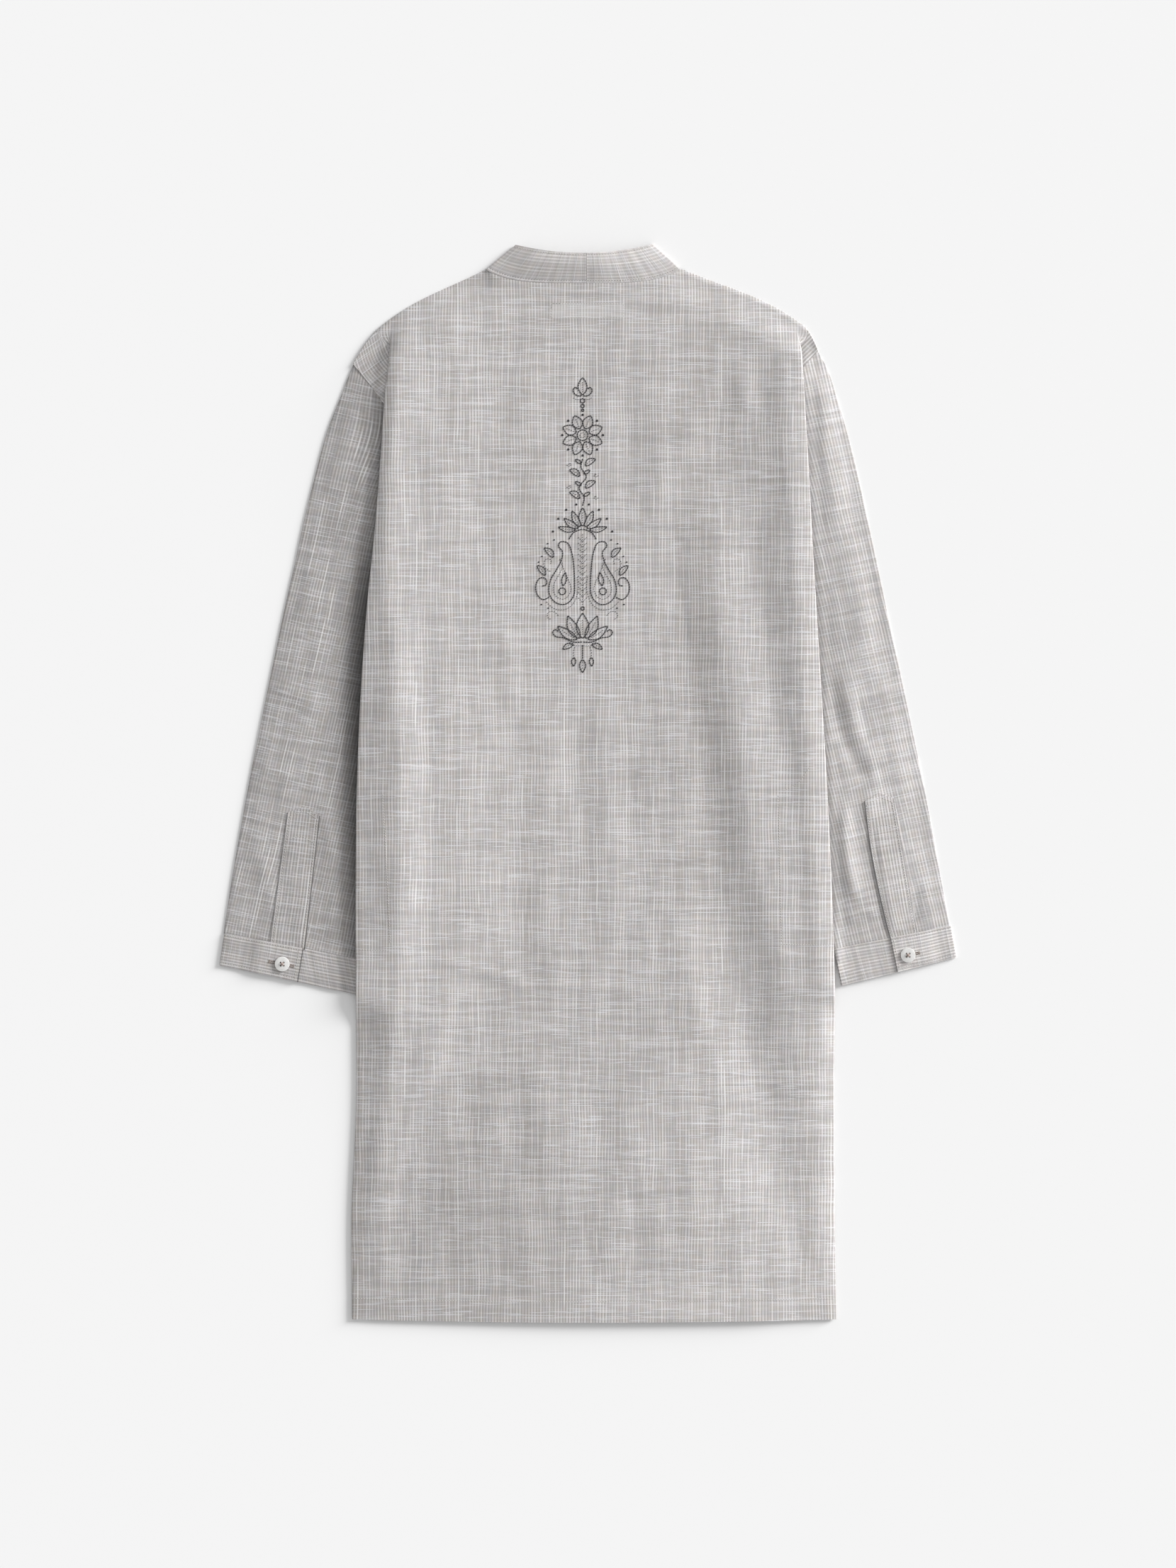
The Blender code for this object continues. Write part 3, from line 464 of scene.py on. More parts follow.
def set_looks(material, colour, settings, height=None, strength=0.0, depth=0.0):
    """Gives a material its colour and settings, and a relief of some depth in metres."""
    shader = material.node_tree.nodes["Principled BSDF"]
    for socket, value in settings.items():
        shader.inputs[socket].default_value = value
    material.node_tree.links.new(colour, shader.inputs["Base Color"])
    if height:
        relief = material.node_tree.nodes.new("ShaderNodeBump")
        relief.inputs["Strength"].default_value = strength
        relief.inputs["Distance"].default_value = depth
        material.node_tree.links.new(height, relief.inputs["Height"])
        material.node_tree.links.new(relief.outputs["Normal"], shader.inputs["Normal"])
    return material


STRIPE_PITCH = 2.8           # one taupe and one white stripe of the warp
FINE_WEFT, BROAD_WEFT = 0.85, 2.6    # widths of the thin and the thick slub yarns
TAUPE = (0.394, 0.370, 0.356, 1.0)
GREY = (0.388, 0.372, 0.370, 1.0)
WHITE = (0.636, 0.610, 0.602, 1.0)
SLUB_WHITE = (0.745, 0.750, 0.780, 1.0)
YARN_WHITE = (0.80, 0.795, 0.785, 1.0)
SHOW_THROUGH = 0.22          # how much of a white layer shows through one ply
EDGE_SHADE_WIDTH, EDGE_PAINTED_SHADE = 1.5, 0.30      # width of the painted shade beside a free edge, which stands for the shadow in the gap there, and how dark it is


def slub_cotton(name, shade=1.0, stripes=1.0, slub=1.0, backed=None, shaded_edge=None, gap=False, fade=None):
    """Pinstriped slub cotton: soft taupe and white warp stripes crossed by uneven white weft yarns.

    `shade`, `stripes` and `slub` are the strengths of the whole, the warp stripes and the white
    yarns. `backed` is the centre and size of a white label that shows through the thin cloth, and
    `shaded_edge` is (0 across or 1 along, value) of a free edge beside which a dark line of painted
    shade stands for the shadow in the gap under it. With `gap` the cloth takes painted shade where
    its "gap" layer says so. `fade` holds the two heights between which painted shade darkens the
    cloth at the left and painted light brightens it at the right, the two shades, and half the width.
    """
    material, add = new_material(name)

    def calc(operation, *values):
        return add("Math", *values, operation=operation)

    def ramp(value, low, high, to_low=0.0, to_high=1.0):
        return add("MapRange", value, low, high, to_low, to_high, interpolation_type="SMOOTHSTEP")

    def field(x, y, detail=1.0):
        """Smooth noise in the plane, about 0.5 on average."""
        place = add("CombineXYZ", x, y, 0.0)
        return add("TexNoise", place, None, 1.0, detail, 0.5, noise_dimensions="2D")

    def blend(factor, first, second, kind="MIX"):
        return add("MixRGB", factor, first, second, blend_type=kind)

    weave = add("UVMap", uv_map="weave")
    across = add("SeparateXYZ", weave)
    along = add("SeparateXYZ", weave, out=1)
    sway = field(calc("MULTIPLY", across, 1 / 46), calc("MULTIPLY", along, 1 / 70))
    dip = field(calc("MULTIPLY", across, 1 / 75), calc("MULTIPLY_ADD", along, 1 / 40, 31.0))
    warp = calc("MULTIPLY_ADD", calc("MULTIPLY_ADD", sway, 2.6, across), 1 / STRIPE_PITCH, 400.0)
    weft = calc("MULTIPLY_ADD", dip, 2.4, along)

    stripe_number = calc("FLOOR", warp)
    stripe_chance = add("TexWhiteNoise", None, stripe_number, out=1, noise_dimensions="1D")
    chances = [add("SeparateColor", stripe_chance, out=place) for place in range(3)]
    crest = calc("MULTIPLY", calc("PINGPONG", warp, 0.5), 2.0)
    lit_length = field(calc("MULTIPLY", stripe_number, 3.71), calc("MULTIPLY", along, 1 / 60), 2.0)
    strength = calc("MULTIPLY_ADD", chances[0], 0.25, ramp(lit_length, 0.30, 0.70, 0.35, 1.15))
    stripe = calc("MULTIPLY_ADD", calc("MULTIPLY", ramp(crest, 0.30, 0.78), strength), stripes,
                  0.40 * (1 - stripes))
    lone_yarn = calc("MULTIPLY", ramp(chances[1], 0.80, 0.97), ramp(lit_length, 0.48, 0.62))
    lone_yarn = calc("MULTIPLY", lone_yarn, ramp(crest, 0.45, 0.95))

    def slubs(width, length, low, high):
        """Weft yarns of one thickness, each white only where its slub lies."""
        place = calc("MULTIPLY_ADD", weft, 1 / width, 900.0)
        number = calc("FLOOR", place)
        chance = add("TexWhiteNoise", None, number, noise_dimensions="1D")
        start = calc("MULTIPLY_ADD", chance, 57.0, calc("MULTIPLY", across, 1 / length))
        strength = ramp(field(start, calc("MULTIPLY", number, 1.73), 2.0), low, high)
        profile = ramp(calc("MULTIPLY", calc("PINGPONG", place, 0.5), 2.0), 0.0, 0.7, 0.25, 1.0)
        return calc("MULTIPLY", calc("MULTIPLY", strength, profile),
                    calc("MULTIPLY_ADD", chance, 0.6, 0.4))

    fine, broad = slubs(FINE_WEFT, 34.0, 0.50, 0.70), slubs(BROAD_WEFT, 60.0, 0.56, 0.78)
    bands = field(calc("MULTIPLY", across, 1 / 150), calc("MULTIPLY", along, 1 / 4.5), 3.0)
    patches = field(calc("MULTIPLY", across, 1 / 30), calc("MULTIPLY_ADD", along, 1 / 55, 9.0), 2.0)

    ground = blend(ramp(chances[2], 0.35, 0.65), TAUPE, GREY)
    colour = blend(stripe, ground, WHITE)
    tone = calc("ADD", ramp(bands, 0.25, 0.75, 0.91, 1.08), ramp(patches, 0.25, 0.75, -0.03, 0.03))
    tone = calc("MULTIPLY", tone, shade)
    warm = field(calc("MULTIPLY", across, 1 / 7), calc("MULTIPLY_ADD", along, 1 / 7, 50.0), 3.0)
    cool = field(calc("MULTIPLY", across, 1 / 9), calc("MULTIPLY_ADD", along, 1 / 6, 90.0), 3.0)
    red = calc("MULTIPLY", tone, ramp(warm, 0.3, 0.7, 0.980, 1.018))
    blue = calc("MULTIPLY", tone, ramp(cool, 0.3, 0.7, 0.976, 1.020))
    colour = blend(1.0, colour, add("CombineColor", red, tone, blue), "MULTIPLY")
    colour = blend(calc("MULTIPLY", fine, 0.72 * slub), colour, SLUB_WHITE)
    colour = blend(calc("MULTIPLY", broad, 0.24 * slub), colour, SLUB_WHITE)
    colour = blend(calc("MULTIPLY", lone_yarn, 0.62 * slub), colour, YARN_WHITE)

    if backed:
        beside, above = (calc("SUBTRACT", calc("ABSOLUTE", calc("SUBTRACT", place, middle)), size / 2)
                         for place, middle, size in zip((across, along), *backed))
        outside = calc("MAXIMUM", beside, above)
        colour = blend(ramp(outside, -1.4, 0.2, SHOW_THROUGH, 0.0), colour, YARN_WHITE)

    shades = []
    # painted shade towards the lower left and painted light towards the lower right
    if fade:
        begin, full, left, right, half_width = fade
        side_tone = ramp(across, -half_width, half_width, left - 1.0, right - 1.0)
        shades.append(calc("MULTIPLY_ADD", side_tone, ramp(along, full, begin, 1.0, 0.0), 1.0))
    # painted shade read from the mesh's "gap" layer: the crevices beside the body and the right wedge
    if gap:
        shades.append(add("SeparateXYZ", add("UVMap", uv_map="gap")))
    # painted shade: a dark line beside a free edge stands for the shadow in the gap under it
    if shaded_edge:
        inward = calc("ABSOLUTE", calc("SUBTRACT", (across, along)[shaded_edge[0]], shaded_edge[1]))
        shades.append(ramp(inward, 0.3, EDGE_SHADE_WIDTH, EDGE_PAINTED_SHADE, 1.0))
    for lit in shades:
        colour = blend(1.0, colour, add("CombineColor", lit, lit, lit), "MULTIPLY")

    height = calc("ADD", calc("MULTIPLY", stripe, 0.35),
                  calc("ADD", calc("MULTIPLY", fine, 0.7), calc("MULTIPLY", broad, 0.8)))
    return set_looks(material, colour,
                     {"Roughness": 0.92, "Specular IOR Level": 0.15, "Sheen Weight": 0.06,
                      "Sheen Roughness": 0.5}, height, strength=0.45, depth=0.00022)


cotton = slub_cotton("slub_cotton")


def finish_cloth(piece, node, flat, area, material):
    piece.data.materials.append(material)
    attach(piece, "root")
    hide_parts(node)


def front_height(x, y):
    return level(FRONT) + 0 * x * y


def front_ply(y):
    return Ply(level(FRONT), front_turn_level(y), level(SLEEVE_UNDER), FRONT_INSET, level(FRONT),
               front_height, front_neck_y)


neck_angles = np.append(np.arange(0.0, SLIT_ANGLE - 2.0, NECK_ANGLE_STEP), SLIT_ANGLE)
half_neck = np.cos(np.radians(neck_angles))
front_shares = main_shares(np.concatenate([-half_neck, half_neck[::-1]]), FRONT_SHOULDER_STEPS)
front_grid = panel(front_ply, front_shares, FRONT_ROW_STEP)
side_columns = 2 * FOLD_STEPS + TURN_STEPS + WEDGE_STEPS
slit_column = side_columns + FRONT_SHOULDER_STEPS + len(half_neck) - 1
slit_cells = np.zeros((front_grid.shape[0] - 1, front_grid.shape[1] - 1), dtype=bool)
slit_cells[front_grid[:-1, slit_column, 1] > SLIT_END_Y + 3.0, slit_column] = True
body_front = cloth_mesh("front", front_grid, missing=slit_cells)
finish_cloth(body_front, "body_front", (610.0, 1000.0), 0.50, cotton)


# ---- The front placket
# A plain strip of the same cotton that closes the neck slit, stitched down both sides and across
# its foot. It lies in the plane of the front, against the table.
CLOSING_CUT = 700.0                  # how far up the length of cloth the strip is cut
CLOSING_LINES, CLOSING_COLUMNS = 58, 9

placket_rows = []
for share in np.linspace(0.0, 1.0, CLOSING_LINES):
    x = NECK_CENTRE + SLIT_HALF * np.linspace(-1.0, 1.0, CLOSING_COLUMNS)
    y = mix(front_neck_y(x) + TUCK, SLIT_END_Y, share)
    placket_rows.append(np.stack([x, y, level(FRONT) + 0 * x, x, y + CLOSING_CUT], axis=1))
front_placket = cloth_mesh("placket", np.array(placket_rows))
finish_cloth(front_placket, "front_placket", (29.0, 345.0), 0.0098, cotton)


# ---- The back
# The same cut as the front, with a higher neck. It covers the garment: high over the turned-in
# sides and sleeves, down to the front between them, with soft folds pressed in by the layers below.
Crease = namedtuple("Crease", "x0 y0 x1 y1 bow width height")
BACK_LINES = (       # y, then (x, height) of each line down the back where its slope changes
    (400.0, (-180.0, 8.8), (-157.0, 7.2), (-86.0, 4.8), (-1.0, 4.7), (55.0, 4.9), (84.0, 5.2),
     (126.0, 5.6), (152.0, 6.4), (182.0, 7.4)),
    (379.0, (-181.0, 9.7), (-156.0, 7.8), (-80.0, 5.0), (-1.0, 4.6), (50.0, 4.8), (78.0, 5.1),
     (126.0, 5.6), (152.0, 6.7), (184.0, 8.5)),
    (283.0, (-188.0, 10.1), (-156.0, 7.7), (-78.0, 5.0), (-1.0, 4.6), (50.0, 4.6), (80.0, 4.8),
     (127.0, 6.0), (154.0, 6.5), (192.0, 10.3)),
    (186.0, (-189.0, 11.0), (-156.0, 8.0), (-72.0, 5.0), (-1.0, 4.5), (55.0, 4.4), (84.0, 4.6),
     (121.0, 8.8), (161.0, 6.9), (197.0, 10.8)),
    (90.0, (-182.0, 12.2), (-150.0, 8.2), (-68.0, 5.0), (-1.0, 4.3), (62.0, 4.6), (98.0, 5.0),
     (138.0, 10.3), (172.0, 8.1), (203.0, 10.8)),
    (-7.0, (-178.0, 13.1), (-148.0, 8.5), (-64.0, 5.0), (-1.0, 4.3), (72.0, 4.7), (112.0, 5.0),
     (150.0, 10.2), (191.0, 9.1), (210.0, 10.5)),
    (-103.0, (-177.0, 13.1), (-148.0, 8.7), (-66.0, 5.0), (-1.0, 4.5), (86.0, 5.2), (124.0, 5.0),
     (165.0, 10.2), (200.0, 9.5), (214.0, 10.7)),
    (-190.0, (-180.0, 9.8), (-156.0, 7.5), (-88.0, 3.6), (-1.0, 5.6), (96.0, 8.6), (140.0, 5.0),
     (190.0, 9.4), (208.0, 9.0), (219.0, 9.6)),
    (-287.0, (-190.0, 6.1), (-168.0, 4.7), (-140.0, 2.8), (-1.0, 6.6), (122.0, 8.2), (164.0, 4.0),
     (203.0, 5.7), (216.0, 5.3), (224.0, 3.8)),
    (-393.0, (-200.0, 4.4), (-189.0, 3.6), (-180.0, 2.2), (-1.0, 7.6), (134.0, 7.6), (190.0, 3.3),
     (214.0, 4.2), (224.0, 3.6), (228.0, 3.0)),
    (-480.0, (-214.0, 2.4), (-203.0, 2.6), (-188.0, 2.9), (-1.0, 4.8), (150.0, 4.6), (214.0, 2.6),
     (226.0, 2.7), (230.0, 2.6), (232.0, 2.5)),
)
CREASE_SOFTNESS = 0.55       # 0 leaves each line a crisp crease
BACK_CREASES = (
    Crease(14, 100, 20, -170, 2, 16, 1.0),
    Crease(-40, 90, -34, -160, -2, 16, 0.7),
    Crease(-140, -168, -50, -196, 3, 6, 0.9),
    Crease(-50, -192, 60, -198, 2, 5, 0.9),
    Crease(-82, 150, -72, 60, 3, 10, 1.0),
    Crease(160, 404, 176, 240, 4, 10, -0.6),
    Crease(140, 402, 150, 352, -2, 9, 0.9),
    Crease(184, 404, 198, 330, 3, 7, 1.0),
    Crease(38, -380, 52, -470, 3, 11, -0.9),
    Crease(70, 400, 62, 230, 3, 13, 0.6),
    Crease(-60, 410, -46, 250, 4, 15, 0.6),
    Crease(30, 380, 38, 250, 0, 10, -0.6),
    Crease(-100, 330, -120, 150, -4, 14, -0.6),
    Crease(84, 60, 78, -160, 4, 15, 0.6),
    Crease(-110, 30, -104, -150, -5, 17, 0.5),
    Crease(-60, -240, -20, -440, 5, 16, 0.6),
    Crease(-8, -250, 14, -400, 4, 14, -0.6),
    Crease(96, -270, 108, -450, -4, 14, 0.6),
)
PUCKER_COUNT, PUCKER_SEED = 26, 11
BACK_PUCKER = 0.32   # how high the ripples of the washed cotton stand
BACK_NECK_STEPS, BACK_SHOULDER_STEPS, BACK_ROW_STEP = 47, 24, 4.0
# painted shade darkens the back towards its lower left and painted light brightens its lower right
PAINTED_HEM_LIGHT = (-190.0, -450.0, 0.86, 1.09, 220.0)
WEDGE_PAINTED_SHADE, WEDGE_SHADE_FADE = 0.22, 20.0  # painted shade on the cloth beyond the right pleat, and how it begins
LABEL_CENTRE, LABEL_SIZE = (-0.3, 446.6), (71.0, 15.4)
LABEL_PRESS = 0.22   # the label presses through the thin cloth by this much
LABEL_SOFT = 2.0     # and its edge is this soft
NECK_CROWN = 2.8     # how far the back neck rises between the shoulders
NECK_CORNER = 8.0    # from each end of the neck its level comes up from the shoulder's
CALM_SIDE, CALM_HEM, CALM_TOP = 24.0, 60.0, 50.0     # the soft folds are full this far from the edges
CREASE_PAST, CREASE_FADE = 0.12, 0.34        # how far a crease runs on and fades, in its lengths
FULL_TURN = 6.283    # radians

pucker_chance = np.random.default_rng(PUCKER_SEED)
puckers = [(pucker_chance.uniform(0.006, 0.03), pucker_chance.normal(0.0, 0.005),
            pucker_chance.uniform(0.0, 6.28), pucker_chance.uniform(0.5, 1.0))
           for _ in range(PUCKER_COUNT)]     # turns in 1 mm across and along, phase, and share


def press(x, y, creases):
    """The height that a table of soft ridges and troughs adds at a point."""
    total = np.zeros(np.shape(x))
    for crease in creases:
        run, rise = crease.x1 - crease.x0, crease.y1 - crease.y0
        length = math.hypot(run, rise)
        along = ((x - crease.x0) * run + (y - crease.y0) * rise) / length ** 2
        bow = crease.bow * 4 * along * (1 - along)
        across = ((y - crease.y0) * run - (x - crease.x0) * rise) / length - bow
        ends = ease((along + CREASE_PAST) / CREASE_FADE) * ease((1 + CREASE_PAST - along) / CREASE_FADE)
        total = total + crease.height * ends * np.exp(-(across / crease.width) ** 2)
    return total


def puckered(x, y, amount):
    """Faint long ripples of washed cotton, running mostly along the warp."""
    total = np.zeros(np.shape(x))
    for across, along, phase, share in puckers:
        total = total + share * np.sin(FULL_TURN * (across * x + along * y) + phase)
    return amount * total / math.sqrt(PUCKER_COUNT)


def line_curve(place, part):
    """One line down the back as a smooth function of y: its x (part 0) or its height (part 1)."""
    return curve_through([(row[0], row[place][part]) for row in BACK_LINES])


back_lines = [(fold_x[-1], back_side_level)]
back_lines += [(line_curve(place, 0), line_curve(place, 1)) for place in range(1, len(BACK_LINES[0]))]
back_lines.append((fold_x[1], back_side_level))


def draped(x, y):
    """The back between its side folds, from line to line."""
    xs = np.array([line[0](y) for line in back_lines])
    heights = np.array([line[1](y) for line in back_lines])
    total = np.where(x < xs[0], heights[0], heights[-1])
    for place in range(len(back_lines) - 1):
        span = np.maximum(xs[place + 1] - xs[place], 0.1)
        share = (x - xs[place]) / span
        eased = mix(share, ease(share), CREASE_SOFTNESS)
        inside = (share >= 0) & (share <= 1)
        total = np.where(inside, mix(heights[place], heights[place + 1], eased), total)
    return total


def back_height(x, y):
    """Middle of the back's main panel, with its folds."""
    x, y = np.broadcast_arrays(np.asarray(x, dtype=float), np.asarray(y, dtype=float))
    below_top = top_y(x, back_neck_y) - y
    above_hem = y - hem_y(x)
    at_neck = ease((1.0 - neck_share(x)) * NECK_HALF / NECK_CORNER)
    neck = level(CENTRE_BACK) + NECK_CROWN * (1 - neck_share(x) ** 2)
    edge = mix(level(FRONT_TURN), neck, at_neck)
    from_fold = np.minimum(x - fold_x[-1](y), fold_x[1](y) - x)
    free = ease(from_fold / CALM_SIDE) * ease(above_hem / CALM_HEM)
    soft = (press(x, y, BACK_CREASES) + puckered(x, y, BACK_PUCKER)) * ease(below_top / CALM_TOP)
    beside, above = (np.abs(place - middle) - size / 2
                     for place, middle, size in zip((x, y), LABEL_CENTRE, LABEL_SIZE))
    label = LABEL_PRESS * ease(-np.maximum(beside, above) / LABEL_SOFT + 0.7)
    return mix(edge, draped(x, y), ease(below_top / SHOULDER_RISE)) + free * soft + label


def back_ply(y):
    return Ply(back_side_level(y), back_turn_level(y), level(SLEEVE_OVER), 0.0,
               level(FRONT_TURN), back_height, back_neck_y)


back_shares = main_shares(np.linspace(-1.0, 1.0, BACK_NECK_STEPS), BACK_SHOULDER_STEPS)
back_grid = panel(back_ply, back_shares, BACK_ROW_STEP)
hem_share = ease((back_grid[..., 4] - HEM_Y - HEM_DEPTH - 1.0) / -2.0)
# painted shade on the right shoulder's wedge, kept in the back's "gap" layer
back_painted_shade = np.ones(back_grid.shape[:2])
back_painted_shade[:, -WEDGE_STEPS:] -= WEDGE_PAINTED_SHADE * ease((APEX_Y - back_grid[:, -WEDGE_STEPS:, 1]) / WEDGE_SHADE_FADE)
body_back = cloth_mesh("back", back_grid, thickness=CLOTH + HEM_EXTRA * hem_share, gap=back_painted_shade)
# the back's cotton takes painted shade on the right wedge and painted shade and light near the hem
finish_cloth(body_back, "body_back", (620.0, 1000.0), 0.54,
             slub_cotton("back_cotton", stripes=0.86, backed=(LABEL_CENTRE, LABEL_SIZE), gap=True,
                         fade=PAINTED_HEM_LIGHT))


# ---- The label
# A small blank woven tape, stitched by its edges to the inside of the back, under the collar.
LABEL_THICK, LABEL_BELOW = 0.35, 0.8
LABEL_COLUMNS, LABEL_LINES = 36, 10

label_xs = LABEL_CENTRE[0] + LABEL_SIZE[0] / 2 * np.linspace(-1.0, 1.0, LABEL_COLUMNS)
label_ys = LABEL_CENTRE[1] + LABEL_SIZE[1] / 2 * np.linspace(1.0, -1.0, LABEL_LINES)
x, y = np.meshgrid(label_xs, label_ys)
label_grid = np.stack([x, y, back_height(x, y) - LABEL_BELOW, x, y], axis=-1)


def woven_tape(name):
    """Off-white satin tape with a fine cross rib."""
    material, add = new_material(name)
    weave = add("UVMap", uv_map="weave")
    rib = add("TexWave", weave, 2.2, 0.4, 1.0, out=1, bands_direction="Y")
    speckle = add("TexNoise", weave, None, 0.9, 3.0)
    lit = add("MapRange", speckle, 0.3, 0.7, 0.62, 0.72)
    lit = add("Math", lit, add("MapRange", rib, 0.0, 1.0, 0.94, 1.02), operation="MULTIPLY")
    colour = add("CombineColor", lit, add("Math", lit, 0.985, operation="MULTIPLY"),
                 add("Math", lit, 0.96, operation="MULTIPLY"))
    return set_looks(material, colour, {"Roughness": 0.6, "Sheen Weight": 0.2}, rib,
                     strength=0.4, depth=0.0001)


label = cloth_mesh("back_label", label_grid, thickness=LABEL_THICK)
finish_cloth(label, "label", LABEL_SIZE, None, woven_tape("woven_tape"))


# ---- The pocket bags
# Each side seam has a flat bag of plain thin cotton, two plies sewn round their edge, which lies
# inside the turned-in side. A row of stitches holds it to the back.
POCKET_TOP_Y, POCKET_FOOT_Y = 14.0, -158.0
POCKET_OUTER, POCKET_INNER, POCKET_TOP_SLOPE = 6.0, 8.0, 14.0     # from the folds, and along the top
POCKET_WIDTHS = {-1: 40.0, 1: 58.0}
POCKET_THICK, POCKET_CROWN, POCKET_CUT = 0.8, 0.15, 300.0
POCKET_LINES, POCKET_COLUMNS = 36, 14

pocketing = slub_cotton("pocketing", 1.04)
for side in (-1, 1):
    bag_rows = []
    for share in np.linspace(0.0, 1.0, POCKET_LINES):
        y = mix(POCKET_TOP_Y, POCKET_FOOT_Y, share)
        across = np.linspace(0.0, 1.0, POCKET_COLUMNS)
        x = fold_x[side](y) - side * mix(POCKET_OUTER, turned_in[side](y) - POCKET_INNER, across)
        bag_y = y - POCKET_TOP_SLOPE * across * ease(1 - share * 8)
        z = level(POCKET) + POCKET_CROWN * ease(np.minimum(across, 1 - across) * 6)
        row = np.stack([x, bag_y, z, x, bag_y + POCKET_CUT], axis=1)
        bag_rows.append(row if side < 0 else row[::-1])
    bag = cloth_mesh("pocket_" + SHOULDERS[side].side, np.array(bag_rows), thickness=POCKET_THICK)
    finish_cloth(bag, "pocket_bag_" + SHOULDERS[side].side, (POCKET_WIDTHS[side], 172.0), None,
                 pocketing)


# ---- The sleeves
# Each is one cut, closed by a seam along its inner edge, and lies flat as two plies. It comes out
# between the body's turned-in sides and slopes down to the table beside them.
SLEEVE_ROWS = (      # y, left outer and inner edge, right outer and inner edge
    (409.0, -216.5, -124.3, 217.4, 128.5),
    (396.0, -222.1, -124.3, 224.6, 128.5),
    (365.0, -234.2, -124.3, 235.5, 128.5),
    (338.0, -244.9, -124.3, 243.5, 128.5),
    (285.0, -259.6, -124.3, 256.9, 128.5),
    (222.0, -274.4, -124.3, 270.4, 128.5),
    (208.0, -277.2, -132.0, 273.4, 136.5),
    (190.0, -281.4, -140.0, 277.2, 144.0),
    (97.0, -301.2, -159.1, 297.1, 161.0),
    (-10.0, -322.6, -177.6, 319.3, 187.3),
    (-99.0, -338.2, -195.6, 335.6, 212.3),
    (-170.0, -348.9, -214.2, 349.0, 234.6),
)
Cuff = namedtuple("Cuff", "seam_outer seam_inner hem_outer hem_inner lap_seam lap_hem under button")
CUFFS = {
    -1: Cuff((-344.0, -141.4), (-213.4, -166.8), (-348.7, -172.2), (-213.4, -201.0),
             0.574, 0.550, 0.30, (-289.1, -170.9)),
    1: Cuff((343.4, -134.7), (232.2, -156.8), (348.8, -164.8), (239.5, -191.6),
            0.520, 0.517, 0.26, (302.5, -162.5)),
}
SLEEVE_CREASES = {
    -1: (Crease(-203, 388, -219, 262, 9, 9, 1.5), Crease(-228, 362, -243, 282, 4, 8, 0.7),
         Crease(-216, 350, -229, 250, 7, 6, -0.7), Crease(-262, 236, -292, 66, 5, 12, 0.8),
         Crease(-244, 196, -262, 40, -4, 10, 0.7), Crease(-300, 92, -250, 66, 4, 8, 0.6),
         Crease(-306, 40, -322, -96, 3, 11, 0.7), Crease(-258, 20, -240, -70, -3, 8, 0.6),
         Crease(-251, -38, -264, -156, 0, 4, -0.9), Crease(-238, -50, -243, -150, 2, 7, 0.8),
         Crease(-314, -60, -298, -130, 3, 7, 0.5), Crease(-226, 30, -236, -120, 2, 6, -0.6)),
    1: (Crease(243, 240, 257, 116, 4, 12, 1.3), Crease(217, 402, 236, 236, -3, 18, 2.4),
        Crease(225, 98, 266, -2, -5, 6, -1.5), Crease(240, 104, 276, 10, -4, 7, 1.2),
        Crease(256, 78, 281, 0, -4, 5, -1.1), Crease(276, 110, 300, -20, 4, 11, 0.7),
        Crease(225, -44, 239, -134, -4, 6, -2.6), Crease(241, -22, 254, -112, -4, 8, 3.0),
        Crease(246, -131, 270, -121, 3, 3.5, 1.0), Crease(269, -44, 286, -148, -2, 4, -1.0),
        Crease(270, 40, 262, -40, 3, 7, 0.8), Crease(316, -60, 326, -130, -3, 8, 0.6),
        Crease(312, -96, 309, -134, 0, 3, -0.5), Crease(262, 210, 280, 96, 5, 9, -0.5)),
}
SleeveSwell = namedtuple("SleeveSwell", "height rise_from rise_width fall_width sink")
SLEEVE_SWELLS = {    # how the upper ply stands up between the body and the sleeve's outer edge
    -1: SleeveSwell(0.3, 26.0, 60.0, 70.0, 0.9),
    1: SleeveSwell(3.4, -4.0, 16.0, 60.0, 0.0),
}
SWELL_CUFF, SWELL_APEX, SWELL_FADE = 40.0, 20.0, 30.0      # how it fades at the cuff and the shoulder
SINK_SIDE, SINK_CUFF = 10.0, 20.0      # the sinking is full this far from the body and the cuff
SINK_TOP, SINK_FADE = 40.0, 60.0       # and begins this far above the underarm
SLEEVE_CALM_SIDE, SLEEVE_CALM_EDGE, SLEEVE_CALM_CUFF = 16.0, 14.0, 9.0     # creases are full this far in
SLEEVE_PUCKER = 0.30             # how high the sleeve's ripples stand
CUFF_SWELL = 0.35                # the share of its swell left at the cuff
SEAM_HOLD = 14.0                 # how far below the armhole seam the sleeve's cloth lies flat
SLEEVE_EDGE = 0.65               # from ply to ply along the edges
SLEEVE_ROUND = {-1: 44.0, 1: 26.0}     # how far inside the outer edge the plies draw together
PLY_REST = 0.04                  # the least room between the plies
SEAM_TUCK, CUFF_TUCK = 3.0, 1.5  # how far the sleeve runs on under the armhole seam and the cuff
OVER_TUCK, UNDER_TUCK = 0.55, 0.3      # how far the plies draw together there
SLEEVE_COLUMNS, SLEEVE_LINES, NOSE_STEPS = 38, 145, 4
SLEEVE_CUT = 500.0               # how far beside the body's pieces the sleeves are cut
StripeBow = namedtuple("StripeBow", "across down half_width half_length")
STRIPE_BOW = StripeBow(48.0, 62.0, 26.0, 46.0)     # where the stripes bow over the top of the sleeve
BOW_REACH = {-1: 9.0, 1: 4.0}
